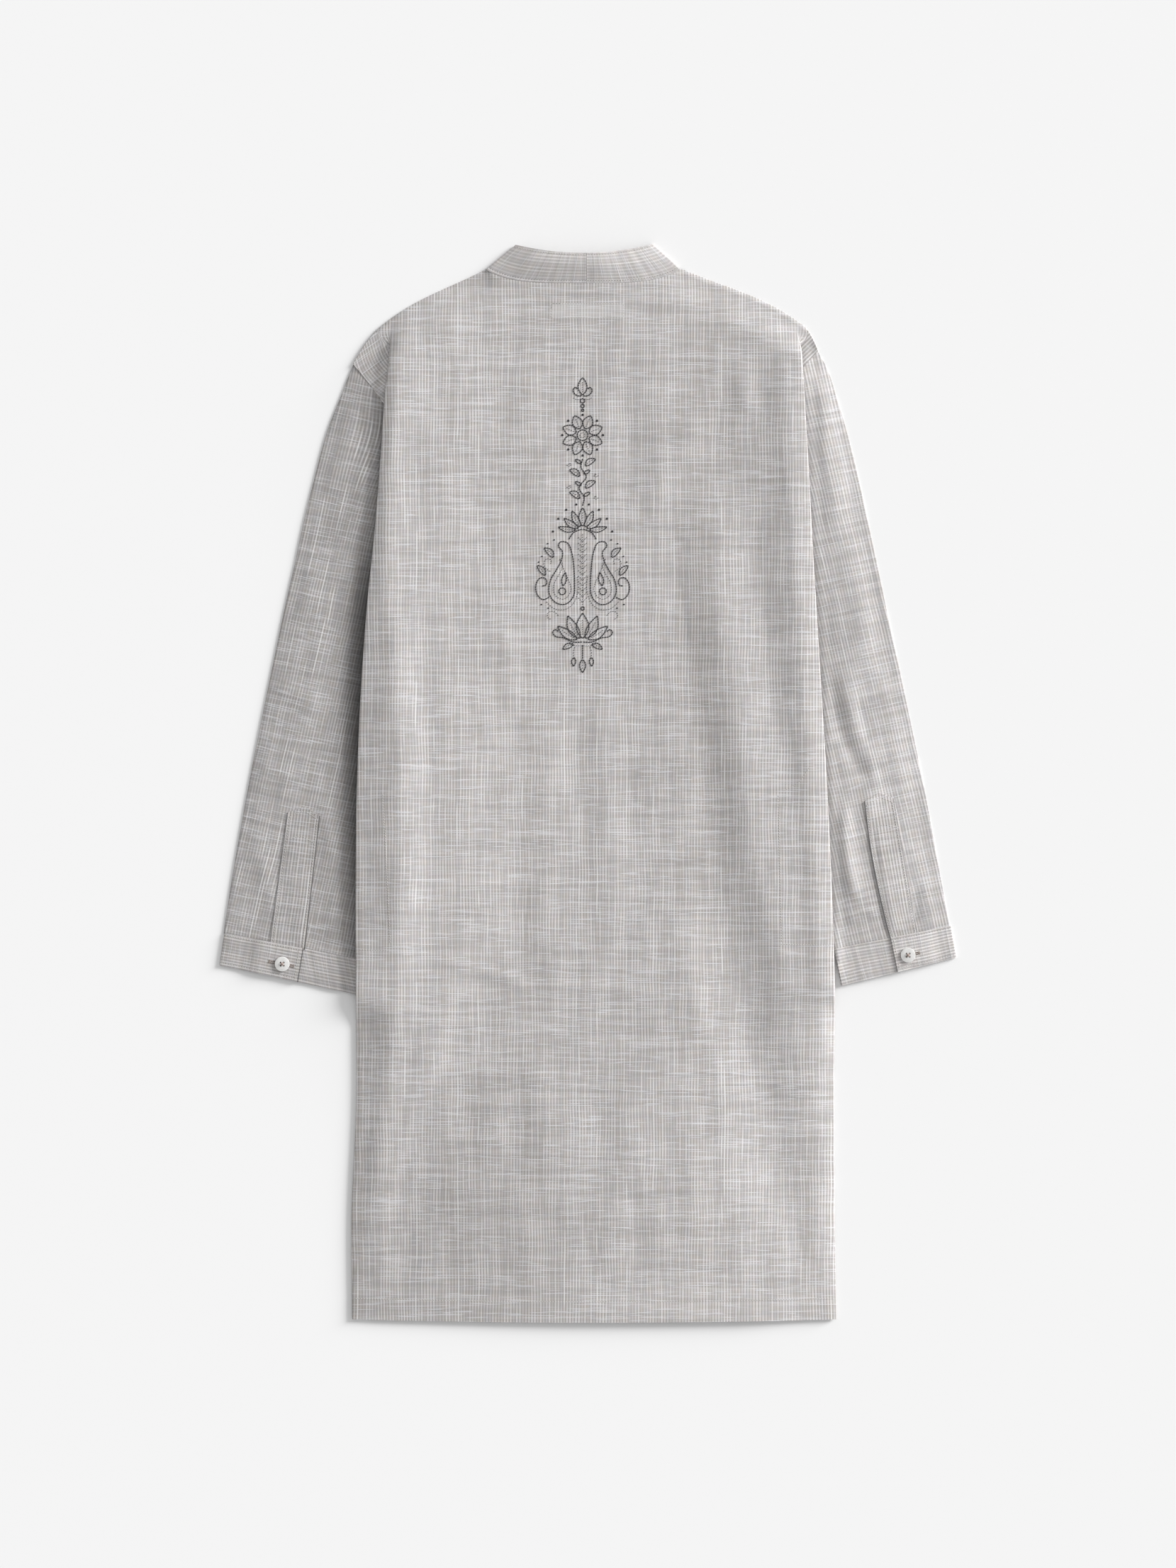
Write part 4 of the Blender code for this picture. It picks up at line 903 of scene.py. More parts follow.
# painted shade on the left sleeve and its placket, and a little painted light on the right ones
PAINTED_SLEEVE_LIGHT = {-1: 0.81, 1: 1.01}
PAINTED_CREVICE_SHADE = {             # y, how dark the painted shade is where a sleeve comes out of the body, and how far that reaches
    -1: ((400.0, 0.40, 5.0), (320.0, 0.46, 4.5), (250.0, 0.42, 8.0), (190.0, 0.72, 14.0),
         (90.0, 0.78, 15.0), (0.0, 0.76, 12.5), (-80.0, 0.67, 10.0), (-140.0, 0.50, 9.0),
         (-190.0, 0.45, 9.0)),
    1: ((280.0, 0.04, 10.0), (190.0, 0.13, 28.0), (90.0, 0.15, 28.0), (0.0, 0.12, 9.0),
        (-100.0, 0.12, 9.0)),
}
SLEEVE_AREAS = {-1: 0.139, 1: 0.130}     # of the cut, in square metres

outer_edge, inner_edge = side_curves(SLEEVE_ROWS, 1, 3), side_curves(SLEEVE_ROWS, 2, 4)


def sleeve_swell(side, x, y):
    """How far the upper ply stands up from the lower one."""
    swell = SLEEVE_SWELLS[side]
    rise = ease((side * (x - fold_x[side](y)) - swell.rise_from) / swell.rise_width)
    return swell.height * rise * ease(side * (outer_edge[side](y) - x) / swell.fall_width)


def below_seam(side, x, y):
    """How far a point lies below the armhole seam beside the body."""
    xs, ys = armhole(side, np.linspace(0.5, 0.0, 30))
    return np.interp(side * x, side * xs, ys) - y


def sleeve_top(side, x, y):
    """Middle of the sleeve's upper ply."""
    outward = side * (x - fold_x[side](y))
    to_edge = side * (outer_edge[side](y) - x)
    swell = SLEEVE_SWELLS[side]
    clear = ease((outward - 1.0) / SLEEVE_CALM_SIDE) * ease(to_edge / SLEEVE_CALM_EDGE)
    rise = ease((outward - swell.rise_from) / swell.rise_width)
    sunk = (swell.sink * (1 - rise) * ease(outward / SINK_SIDE)
            * ease((UNDERARM_Y + SINK_TOP - y) / SINK_FADE))
    folds = press(x, y, SLEEVE_CREASES[side]) + puckered(x * 1.3 + 90.0, y, SLEEVE_PUCKER)
    cuff = CUFFS[side]
    seam_share = (x - cuff.seam_outer[0]) / (cuff.seam_inner[0] - cuff.seam_outer[0])
    above_cuff = y - mix(cuff.seam_outer[1], cuff.seam_inner[1], seam_share)
    seamed = ease((below_seam(side, x, y) - 1.0) / SEAM_HOLD)
    held = mix(CUFF_SWELL, 1.0, ease(above_cuff / SWELL_CUFF)) * ease((APEX_Y - SWELL_APEX - y) / SWELL_FADE)
    loose = (sleeve_swell(side, x, y) * held - sunk * ease(above_cuff / SINK_CUFF)
             + clear * folds * ease(above_cuff / SLEEVE_CALM_CUFF))
    drawn = (PITCH - SLEEVE_EDGE) * ease(1 - to_edge / SLEEVE_ROUND[side]) * ease(outward / 8.0)
    resting = level(0) + CLOTH + PLY_REST
    above = level(1) + seamed * loose - drawn - resting
    return resting + (above + np.sqrt(above ** 2 + 0.01)) / 2 + sleeve_lift(x, y)


def tube_lines(side, downs, across):
    """Flat rows of points across the sleeve, from its inner to its outer edge."""
    cuff = CUFFS[side]
    tip, underarm = SHOULDERS[side].tip, SHOULDERS[side].underarm
    top = np.stack(armhole(side, 1 - across), axis=1)
    foot = mix(np.array(cuff.seam_inner), np.array(cuff.seam_outer), across[:, None])
    lines = []
    for down in downs:
        outer_y = mix(tip[1], cuff.seam_outer[1], down)
        inner_y = mix(underarm[1], cuff.seam_inner[1], down)
        outer = np.array((outer_edge[side](outer_y), outer_y))
        inner = np.array((inner_edge[side](inner_y), inner_y))
        corners = mix(mix(np.array(underarm), np.array(tip), across[:, None]), foot, down)
        lines.append(mix(inner, outer, across[:, None]) + mix(top, foot, down) - corners)
    return lines


def flat_ring(line, over, under):
    """A flattened ring of cloth over a line of points, with a round fold at each end."""
    steps = np.pi * np.arange(1, NOSE_STEPS) / NOSE_STEPS
    held, noses = line.copy(), []
    for end, neighbour, start in ((-1, -2, 0), (0, 1, 1)):
        radius = (over[end] - under[end]) / 2
        towards = unit(line[neighbour] - line[end])
        held[end] = line[end] + towards * (CLOTH / 2 + radius)
        reach = CLOTH / 2 + radius * (1 - np.sin(steps))
        height = (over[end] + under[end]) / 2 + radius * np.cos(steps if start == 0 else np.pi - steps)
        noses.append(np.column_stack([line[end] + towards * reach[:, None], height]))
    return np.concatenate([np.column_stack([held, over]), noses[0],
                           np.column_stack([held[::-1], under[::-1]]), noses[1],
                           [[held[0][0], held[0][1], over[0]]]])


def make_sleeve(side):
    """Rows of points round the sleeve, from the armhole seam to the cuff."""
    lines = tube_lines(side, np.linspace(0.0, 1.0, SLEEVE_LINES), np.linspace(0.0, 1.0, SLEEVE_COLUMNS))
    run_on, past = unit(lines[0] - lines[1]), unit(lines[-1] - lines[-2])
    lines = [mix(np.mean(lines[0], axis=0), lines[0] + SEAM_TUCK * run_on, 0.985), *lines,
             mix(np.mean(lines[-1], axis=0), lines[-1] + CUFF_TUCK * past, 0.99)]
    tip = np.array(SHOULDERS[side].tip)
    down = unit(np.array(CUFFS[side].seam_outer) - tip)
    inward = np.array((-side * abs(down[1]), -abs(down[0])))
    rows = []
    for number, line in enumerate(lines):
        over = sleeve_top(side, line[:, 0], line[:, 1])
        under = level(0) + sleeve_lift(line[:, 0], line[:, 1])
        over[[0, -1]] = under[[0, -1]] + SLEEVE_EDGE
        if number in (0, len(lines) - 1):
            over, under = over - OVER_TUCK, under + UNDER_TUCK
        points = flat_ring(line, over, under)
        u, v = (points[:, :2] - tip) @ inward, (points[:, :2] - tip) @ down
        bow = np.exp(-((v - STRIPE_BOW.down) / STRIPE_BOW.half_length) ** 2
                     - ((u - STRIPE_BOW.across) / STRIPE_BOW.half_width) ** 2)
        u = u - BOW_REACH[side] * bow
        behind = np.arange(len(points)) >= len(line)
        u = np.where(behind, 2 * u[len(line) - 1] - u, u)
        u[-1] = u[-2]
        rows.append(np.column_stack([points, u + SLEEVE_CUT * side, v]))
    grid = np.array(rows)
    return grid if side < 0 else grid[:, ::-1]


for side in (-1, 1):
    grid = make_sleeve(side)[:, ::-1]
    outward = np.maximum(side * (grid[..., 0] - fold_x[side](grid[..., 1])), 0.0)
    # painted shade in the crevice where the sleeve comes out of the body, kept in its "gap" layer
    crevice_shade_depth = curve_through([(y, dark) for y, dark, _ in PAINTED_CREVICE_SHADE[side]])(grid[..., 1])
    crevice_shade_reach = curve_through([(y, reach) for y, _, reach in PAINTED_CREVICE_SHADE[side]])(grid[..., 1])
    gap = 1 - crevice_shade_depth * np.exp(-(outward / crevice_shade_reach) ** 2)
    sleeve = cloth_mesh("sleeve_" + SHOULDERS[side].side + "_cloth", grid, closed=True, gap=gap)
    # the sleeve's cotton takes its painted shade or light, and the crevice's painted shade
    cotton = slub_cotton("sleeve_cotton_" + SHOULDERS[side].side, PAINTED_SLEEVE_LIGHT[side], 0.78, 0.8, gap=True)
    finish_cloth(sleeve, "sleeve_" + SHOULDERS[side].side, (400.0, 600.0), SLEEVE_AREAS[side],
                 cotton)


# ---- The sleeve plackets
# A pointed strip of doubled cotton over each sleeve's slit, sewn down along its outer edge and
# round its point, and free below along its inner edge.
Placket = namedtuple("Placket", "point outer_top outer_foot_x inner_top inner_foot_x inner_sag cross")
SLEEVE_PLACKETS = {
    -1: Placket((-267.7, -22.1), (-283.7, -27.5), -300.5, (-253.6, -31.2), -267.7, 0.0, 0.21),
    1: Placket((275.0, -9.1), (289.1, -14.5), 311.9, (261.0, -17.4), 285.8, 3.0, 0.22),
}
PLACKET_THICK = 0.8
PLACKET_STITCH = 2.2                 # from the edge to the stitches
PLACKET_LOOSE = {-1: 0.6, 1: 1.0}    # how far the free edge stands up
PLACKET_TUCK = 0.45                  # how far the foot dips under the cuff
PLACKET_DOWNS = np.concatenate([np.linspace(0.0, 0.08, 5), np.linspace(0.1, 1.0, 50)])
STRIP_COLUMNS = 15
STRIP_CUT = {-1: 700.0, 1: 1300.0}   # where the strip is cut from the length of cloth

placket_grids = {}
for side in (-1, 1):
    shape, cuff = SLEEVE_PLACKETS[side], CUFFS[side]
    width = abs(shape.outer_top[0] - shape.inner_top[0])
    across = np.linspace(0.0, 1.0, STRIP_COLUMNS)      # from the outer to the inner edge
    roof = np.minimum(across, 1 - across) * 2
    top = mix(np.array(shape.outer_top), np.array(shape.inner_top), across[:, None])
    ridge = np.array(shape.point) - mix(np.array(shape.outer_top), np.array(shape.inner_top), 0.5)
    top = top + ridge * roof[:, None]
    foot_x = mix(shape.outer_foot_x, shape.inner_foot_x, across)
    slope = (cuff.seam_inner[1] - cuff.seam_outer[1]) / (cuff.seam_inner[0] - cuff.seam_outer[0])
    foot = np.stack([foot_x, cuff.seam_outer[1] + slope * (foot_x - cuff.seam_outer[0]) - 1.0], axis=1)
    downward = unit(foot[STRIP_COLUMNS // 2] - np.array(shape.point))
    rows = []
    for down in PLACKET_DOWNS:
        line = mix(top, foot, down)
        line[:, 0] -= shape.inner_sag * 4 * down * (1 - down) * across
        rest = sleeve_top(side, line[:, 0], line[:, 1]) + (CLOTH + PLACKET_THICK) / 2
        loose = ease((down - shape.cross) / 0.1) * ease((0.99 - down) / 0.1)
        z = rest + PLACKET_LOOSE[side] * loose * ease((across - 0.4) / 0.6) * (0.5 + 0.5 * down)
        z = z - PLACKET_TUCK * ease((down - 0.985) / 0.015)
        rows.append(np.column_stack([line, z, (across - 0.5) * width + STRIP_CUT[side],
                                     (np.array(shape.point) - line) @ downward]))
    placket_grids[side] = grid = np.array(rows)
    edge = np.minimum(across, 1 - across) * width
    dent = np.exp(-((edge - PLACKET_STITCH) / 0.8) ** 2) * 0.3
    dent[across > 0.5] *= 0.3
    thickness = PLACKET_THICK - np.broadcast_to(dent, grid.shape[:2])
    strip = cloth_mesh("strip_" + SHOULDERS[side].side, grid if side < 0 else grid[:, ::-1],
                       thickness=thickness if side < 0 else thickness[:, ::-1])
    # painted shade: the left strip is darker like its sleeve, and a dark line beside the free edge stands
    # for its shadow
    cotton = slub_cotton("strip_cotton_" + SHOULDERS[side].side, PAINTED_SLEEVE_LIGHT[side], slub=0.7,
                         shaded_edge=(0, width / 2 + STRIP_CUT[side]))
    finish_cloth(strip, "sleeve_placket_" + SHOULDERS[side].side, (33.0, 156.0), 0.0044,
                 cotton)


# ---- The cuffs
# A doubled strip of the cotton with its stripes running round the wrist, stitched along both
# edges. One end laps over the other on top and is buttoned.
CUFF_THICK, CUFF_UNDER, CUFF_OVER, CUFF_LAP = 0.95, 0.57, 1.62, 2.68     # thickness, and levels
CUFF_LAP_RISE, CUFF_LAP_CLEAR = 0.16, 0.02       # shares of the cuff's width
CUFF_WIDTH, CUFF_DEPTH = 133.0, 32.0             # about how wide and deep a cuff lies
CUFF_FLAT = {-1: 320.0, 1: 270.0}                # the length of its cut, without what lies hidden
CUFF_STRIPES, CUFF_CUT = 31.0, {-1: 1900.0, 1: 2100.0}     # the width of stripes, and where it is cut
CUFF_WAVE, CUFF_CALM = 0.35, 0.06                # how the hem side waves, and how near the ends it is flat
STITCH_DENT, EDGE_THIN, EDGE_SHARE = 0.4, 0.3, 0.04        # how doubled strips thin at stitches and edges
LAP_COLUMNS, FOLD_COLUMNS, END_COLUMNS = 40, 5, 24
# painted shade on the left cuff and painted light on the right one
PAINTED_CUFF_LIGHT = {-1: 0.87, 1: 1.13}
CUFF_STITCHES = (0.075, 0.90)                    # where the stitches run, from seam to hem
CUFF_DOWNS = (0.0, 0.02, 0.045, 0.06, 0.075, 0.09, 0.11, 0.16, 0.28, 0.4, 0.52, 0.64, 0.76, 0.85,
              0.875, 0.9, 0.925, 0.95, 0.98, 1.0)


def stitched_thickness(downs, full, stitches, reach):
    """Thickness of a doubled strip along its width: thin at its edges and where it is stitched."""
    downs = np.array(downs)
    dents = sum(STITCH_DENT * np.exp(-((downs - place) / reach) ** 2) for place in stitches)
    edge = EDGE_THIN * (1 - ease(np.minimum(downs, 1 - downs) / EDGE_SHARE))
    return (full - dents - edge)[:, None]


def cuff_ends(cuff, down):
    """The outer and inner end of a line round the cuff."""
    return (mix(np.array(cuff.seam_outer), np.array(cuff.hem_outer), down),
            mix(np.array(cuff.seam_inner), np.array(cuff.hem_inner), down))


cuff_grids = {}
for side in (-1, 1):
    cuff = CUFFS[side]
    rows = []
    for down in CUFF_DOWNS:
        outer, inner = cuff_ends(cuff, down)
        length = math.dist(outer, inner)
        radius = (CUFF_OVER - CUFF_UNDER) / 2
        inset = (CUFF_THICK / 2 + radius) / length
        lap = mix(cuff.lap_seam, cuff.lap_hem, down)
        fold = np.pi * np.arange(1, FOLD_COLUMNS + 1) / (FOLD_COLUMNS + 1)
        part = np.concatenate([
            np.linspace(lap, inset, LAP_COLUMNS), inset - radius * np.sin(fold) / length,
            np.linspace(inset, 1 - inset, LAP_COLUMNS), 1 - inset + radius * np.sin(fold) / length,
            np.linspace(1 - inset, cuff.under + CUFF_LAP_CLEAR, END_COLUMNS)])
        raised = ease((part[:LAP_COLUMNS] - cuff.under + CUFF_LAP_RISE) / CUFF_LAP_RISE)
        height = np.concatenate([
            mix(CUFF_OVER, CUFF_LAP, raised), CUFF_OVER - radius * (1 - np.cos(fold)),
            np.full(LAP_COLUMNS, CUFF_UNDER), CUFF_UNDER + radius * (1 - np.cos(fold)),
            np.full(END_COLUMNS, CUFF_OVER)])
        points = mix(outer, inner, part[:, None])
        upper = np.ones(len(part))
        upper[LAP_COLUMNS:-END_COLUMNS] = 0.0
        hang = ease(np.minimum(part, 1 - part) / CUFF_CALM)
        wave = (0.8 * np.sin(part * 11.0 + side) + 0.5 * np.sin(part * 23.0 + 2.0)) * CUFF_WAVE
        swell = CUFF_SWELL * (1 - 0.4 * down) * sleeve_swell(side, points[:, 0], points[:, 1])
        z = height + sleeve_lift(points[:, 0], points[:, 1]) + upper * (swell + hang * wave * down)
        steps = np.hypot(np.diff(points[:, 0]), np.diff(points[:, 1])) + np.abs(np.diff(height))
        along = np.append(0.0, np.cumsum(steps))
        stripes = down * CUFF_STRIPES + CUFF_CUT[side] + 0 * part
        rows.append(np.column_stack([points, z, stripes, along]))
    cuff_grids[side] = grid = np.array(rows)
    thickness = np.broadcast_to(stitched_thickness(CUFF_DOWNS, CUFF_THICK, CUFF_STITCHES, 0.02),
                                grid.shape[:2])
    band = cloth_mesh("wrist_" + SHOULDERS[side].side, grid if side > 0 else grid[:, ::-1],
                      thickness=thickness)
    # painted shade on the left cuff, painted light on the right one, and painted shade along the lapped end
    cotton = slub_cotton("cuff_cotton_" + SHOULDERS[side].side, PAINTED_CUFF_LIGHT[side], 0.9, 0.5,
                         shaded_edge=(1, 0.0))
    finish_cloth(band, "cuff_" + SHOULDERS[side].side, (CUFF_FLAT[side], 32.0), None,
                 cotton)


# ---- The collar
# A low standing band of doubled cotton with the stripes running round the neck, joined at the
# centre back. Laid flat it folds at both sides: the front half below, the back half on top.
BAND, BAND_LIFT, BAND_FOLD_GAP = 28.0, 0.4, 1.6
BAND_TIPS = {-1: (-68.7, 509.2), 1: (61.3, 509.9)}
BAND_DIP, BAND_END_ANGLE = 8.8, 88.0
BAND_THICK = 1.0
BAND_FRONT, BAND_BACK, BAND_CROWN = 0.56, 3.2, 7.0     # levels of the two halves, and the back's swell
BAND_LEAN, BAND_RIPPLE = 0.25, 0.16      # that swell stands a little left of the middle, and ripples
BAND_JOIN = -1.0
JOIN_STEPS = (-0.9, -0.45, -0.01, 0.01, 0.45, 0.9)           # columns beside the join
JOIN_GROOVE = (0.0, 0.03, 0.06, -0.14, -0.08, 0.0)           # and how deep the cloth lies there
BAND_FRONT_COLUMNS, BAND_FOLD_STEPS, BAND_BACK_COLUMNS = 34, 8, 26
BAND_CUT, JOIN_SHIFT = 3000.0, 41.3  # where it is cut from the cloth, and how the stripes jump at the join
BAND_DOWNS = (0.0, 0.02, 0.05, 0.07, 0.09, 0.12, 0.25, 0.4, 0.55, 0.7, 0.84, 0.89, 0.92, 0.94, 0.97, 1.0)
BAND_STITCHES = (0.08, 0.93)


def front_band(side, angle, inset):
    """A point of the band's front half, by its angle round the neck."""
    turn = math.radians(angle)
    return np.array((NECK_CENTRE + side * (NECK_HALF - inset) * math.cos(turn),
                     NECK_Y - (FRONT_NECK_DROP - inset) * math.sin(min(turn, math.radians(SLIT_ANGLE)))))


def collar_half(side):
    """Columns (seam end, free end, height, along) of one half of the front, and its fold."""
    columns = [(front_band(side, angle, BAND_LIFT), front_band(side, angle, BAND), BAND_FRONT)
               for angle in np.linspace(BAND_END_ANGLE, 5.0, BAND_FRONT_COLUMNS)]
    neck, tip = np.array(SHOULDERS[side].neck), np.array(BAND_TIPS[side])
    along = unit(tip - neck)
    inward = np.array((-side * abs(along[1]), -abs(along[0])))
    free_edge = np.array((-side, -4 * BAND_DIP / (BAND_TIPS[1][0] - BAND_TIPS[-1][0])))
    free_edge = free_edge / (free_edge @ inward)
    radius = (BAND_BACK - BAND_FRONT) / 2
    for angle in np.pi * np.arange(0, BAND_FOLD_STEPS + 1) / BAND_FOLD_STEPS:
        reach = BAND_THICK / 2 + radius * (1 - math.sin(angle))
        columns.append((neck + BAND_FOLD_GAP * along + inward * reach, tip + free_edge * reach,
                        BAND_FRONT + radius * (1 - math.cos(angle))))
    return columns


collar_columns = collar_half(-1)
first_back = len(collar_columns)
back_reach = 0.955 * NECK_HALF
back_xs = np.concatenate([np.linspace(NECK_CENTRE - back_reach, BAND_JOIN - 3.0, BAND_BACK_COLUMNS),
                          BAND_JOIN + np.array(JOIN_STEPS),
                          np.linspace(BAND_JOIN + 3.0, NECK_CENTRE + back_reach, BAND_BACK_COLUMNS)])
for x in back_xs:
    share = (x - NECK_CENTRE) / NECK_HALF
    free_x = mix(BAND_TIPS[-1][0], BAND_TIPS[1][0], (share + 1) / 2)
    free_y = mix(BAND_TIPS[-1][1], BAND_TIPS[1][1], (share + 1) / 2) - BAND_DIP * (1 - share * share)
    collar_columns.append((np.array((x, back_neck_y(x) + BAND_LIFT)), np.array((free_x, free_y)),
                           BAND_BACK))
collar_columns += collar_half(1)[::-1]
seam_ends, free_ends, heights = (np.array(part) for part in zip(*collar_columns))
collar_steps = np.linalg.norm(np.diff((seam_ends + free_ends) / 2, axis=0), axis=1)
collar_run = np.append(0.0, np.cumsum(collar_steps))
back_share = np.zeros(len(heights))
back_share[first_back:first_back + len(back_xs)] = np.clip(1 - ((back_xs - NECK_CENTRE) / NECK_HALF) ** 2,
                                                           0, 1)
first_join = first_back + BAND_BACK_COLUMNS
groove = np.zeros(len(heights))
groove[first_join:first_join + len(JOIN_GROOVE)] = JOIN_GROOVE
past_join = np.arange(len(heights)) >= first_join + len(JOIN_GROOVE) // 2
rows = []
for down in BAND_DOWNS:
    line = mix(seam_ends, free_ends, down)
    lean = 1 - BAND_LEAN * (line[:, 0] - NECK_CENTRE) / NECK_HALF
    swell = mix(NECK_CROWN, BAND_CROWN * lean, ease(down * 1.4)) * back_share - groove
    ripple = BAND_RIPPLE * np.sin(line[:, 0] * 0.11 + 1.0) * ease(down * 2) * (back_share > 0)
    rows.append(np.column_stack([line, heights + swell + ripple,
                                 down * BAND + BAND_CUT + JOIN_SHIFT * past_join, collar_run]))
collar_grid = np.array(rows)
thickness = np.broadcast_to(stitched_thickness(BAND_DOWNS, BAND_THICK, BAND_STITCHES, 0.022),
                            collar_grid.shape[:2])
collar = cloth_mesh("neckband", collar_grid[:, ::-1], thickness=thickness)
# painted light: the collar's cotton is made lighter than the body's with a shade of 1.09
finish_cloth(collar, "collar_band", (415.0, 28.0), None,
             slub_cotton("collar_cotton", 1.09, 0.5, 0.75))


# ---- The stitching
# Machine stitches of light cotton thread: the hem, the collar, both cuffs, the plackets, the
# label and the rows that hold the pocket bags.
THREAD = 0.2
STITCH, STITCH_GAP = 2.0, 0.55
STITCH_SUNK = 0.15       # how deep the stitches pull into doubled cloth
LABEL_STITCH = 1.2       # how far inside the label's edge they run
PLACKET_FROM, PLACKET_TO = 0.03, 0.985       # and from where to where down a placket
SPINDLE = ((0.0, 0.12), (0.22, 0.9), (0.5, 1.0), (0.78, 0.9), (1.0, 0.12))   # place and thickness
SPINDLE_SIDES = 4


def plain_thread(name, colour, roughness=0.75):
    """Twisted cotton thread."""
    material, add = new_material(name)
    twist = add("UVMap", uv_map="weave")
    strand = add("TexWave", twist, 1.6, 0.6, 1.0, out=1, bands_direction="DIAGONAL")
    tone = add("MapRange", strand, 0.0, 1.0, 0.82, 1.12)
    parts = [add("Math", tone, channel, operation="MULTIPLY") for channel in colour]
    return set_looks(material, add("CombineColor", *parts),
                     {"Roughness": roughness, "Specular IOR Level": 0.3})


def stitch_mesh(name, stitches, radius, material, rise=0.08):
    """Short spindles of thread, slightly arched, for pairs of (starts, ends)."""
    starts, ends = (np.concatenate(part) for part in zip(*stitches))
    run = ends - starts
    length = np.linalg.norm(run, axis=1)
    along = unit(run)
    sideways = unit(np.cross(along, (0.0, 0.0, 1.0)))
    upward = np.cross(sideways, along)
    points, uvs = [], []
    for place, thick in SPINDLE:
        centre = starts + run * place + upward * rise * 4 * place * (1 - place)
        for corner in range(SPINDLE_SIDES):
            angle = 2 * math.pi * corner / SPINDLE_SIDES
            points.append(centre + radius * thick * (sideways * math.cos(angle) + upward * math.sin(angle)))
            uvs.append(np.stack([corner + 0 * length, place * length], axis=1))
    points = np.stack(points, axis=1)
    count, each = points.shape[:2]
    last = (len(SPINDLE) - 1) * SPINDLE_SIDES
    faces = []
    for low in range(0, last, SPINDLE_SIDES):
        for corner in range(SPINDLE_SIDES):
            high, after = low + SPINDLE_SIDES, (corner + 1) % SPINDLE_SIDES
            faces.append((low + corner, low + after, high + after, high + corner))
    faces += [tuple(reversed(range(SPINDLE_SIDES))), tuple(range(last, last + SPINDLE_SIDES))]
    faces = [tuple(corner + each * number for corner in face) for number in range(count) for face in faces]
    mesh = bpy.data.meshes.new(name)
    mesh.from_pydata((points.reshape(-1, 3) * MM).tolist(), [], faces)
    corners = np.concatenate([np.array(face) for face in faces])
    weave = mesh.uv_layers.new(name="weave")
    flat = np.stack(uvs, axis=1).reshape(-1, 2)
    weave.uv.foreach_set("vector", flat[corners].astype(np.float32).ravel())
    mesh.shade_smooth()
    piece = placed(name, mesh)
    piece.data.materials.append(material)
    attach(piece, "root")
    return piece


def resampled(path, pitch):
    """Points along a path at about even steps of the pitch."""
    path = np.asarray(path, dtype=float)
    run = np.append(0.0, np.cumsum(np.linalg.norm(np.diff(path, axis=0), axis=1)))
    count = max(int(round(run[-1] / pitch)), 1)
    places = np.linspace(0.0, run[-1], count + 1)
    return np.stack([np.interp(places, run, path[:, axis]) for axis in range(path.shape[1])], axis=1)


def run_stitch(path, pitch=STITCH + STITCH_GAP, share=STITCH / (STITCH + STITCH_GAP)):
    """Starts and ends of the stitches along a path."""
    points = resampled(path, pitch)
    gap = (1 - share) / 2
    return mix(points[:-1], points[1:], gap), mix(points[:-1], points[1:], 1 - gap)


def on_cloth(grid, down, across, lift):
    """Points `lift` off the middle of a cloth grid, at shares down and across it."""
    points = grid[..., :3]
    surface = points + lift * unit(np.cross(np.gradient(points, axis=0), np.gradient(points, axis=1)))
    row, column = np.broadcast_arrays(np.asarray(down) * (grid.shape[0] - 1.0),
                                      np.asarray(across) * (grid.shape[1] - 1.0))
    low_row = np.clip(row.astype(int), 0, grid.shape[0] - 2)
    low_column = np.clip(column.astype(int), 0, grid.shape[1] - 2)
    row_part, column_part = (row - low_row)[:, None], (column - low_column)[:, None]
    near = mix(surface[low_row, low_column], surface[low_row, low_column + 1], column_part)
    far = mix(surface[low_row + 1, low_column], surface[low_row + 1, low_column + 1], column_part)
    return mix(near, far, row_part)


def on_back(x, y, lift):
    """Points above the middle of the back."""
    x, y = np.broadcast_arrays(np.asarray(x, dtype=float), np.asarray(y, dtype=float))
    return np.stack([x, y, back_height(x, y) + lift], axis=1)


def row_of(downs, place):
    """Where a share of a strip's width falls among its uneven rows, from 0 to 1."""
    return np.interp(place, downs, np.linspace(0.0, 1.0, len(downs)))


light_thread = plain_thread("light_thread", (0.60, 0.58, 0.55))
grey_thread = plain_thread("grey_thread", (0.30, 0.29, 0.28))
sewn = {"light": [], "grey": []}


def sew(path, colour="light"):
    """Stitches along a path."""
    sewn[colour].append(run_stitch(path))


def sew_back(corners, lift, colour="light", shift=0.0):
    """Stitches from corner to corner on the back."""
    xs, ys = resampled(corners, 1.0).T
    sew(on_back(xs + shift, ys + shift, CLOTH / 2 + lift), colour)


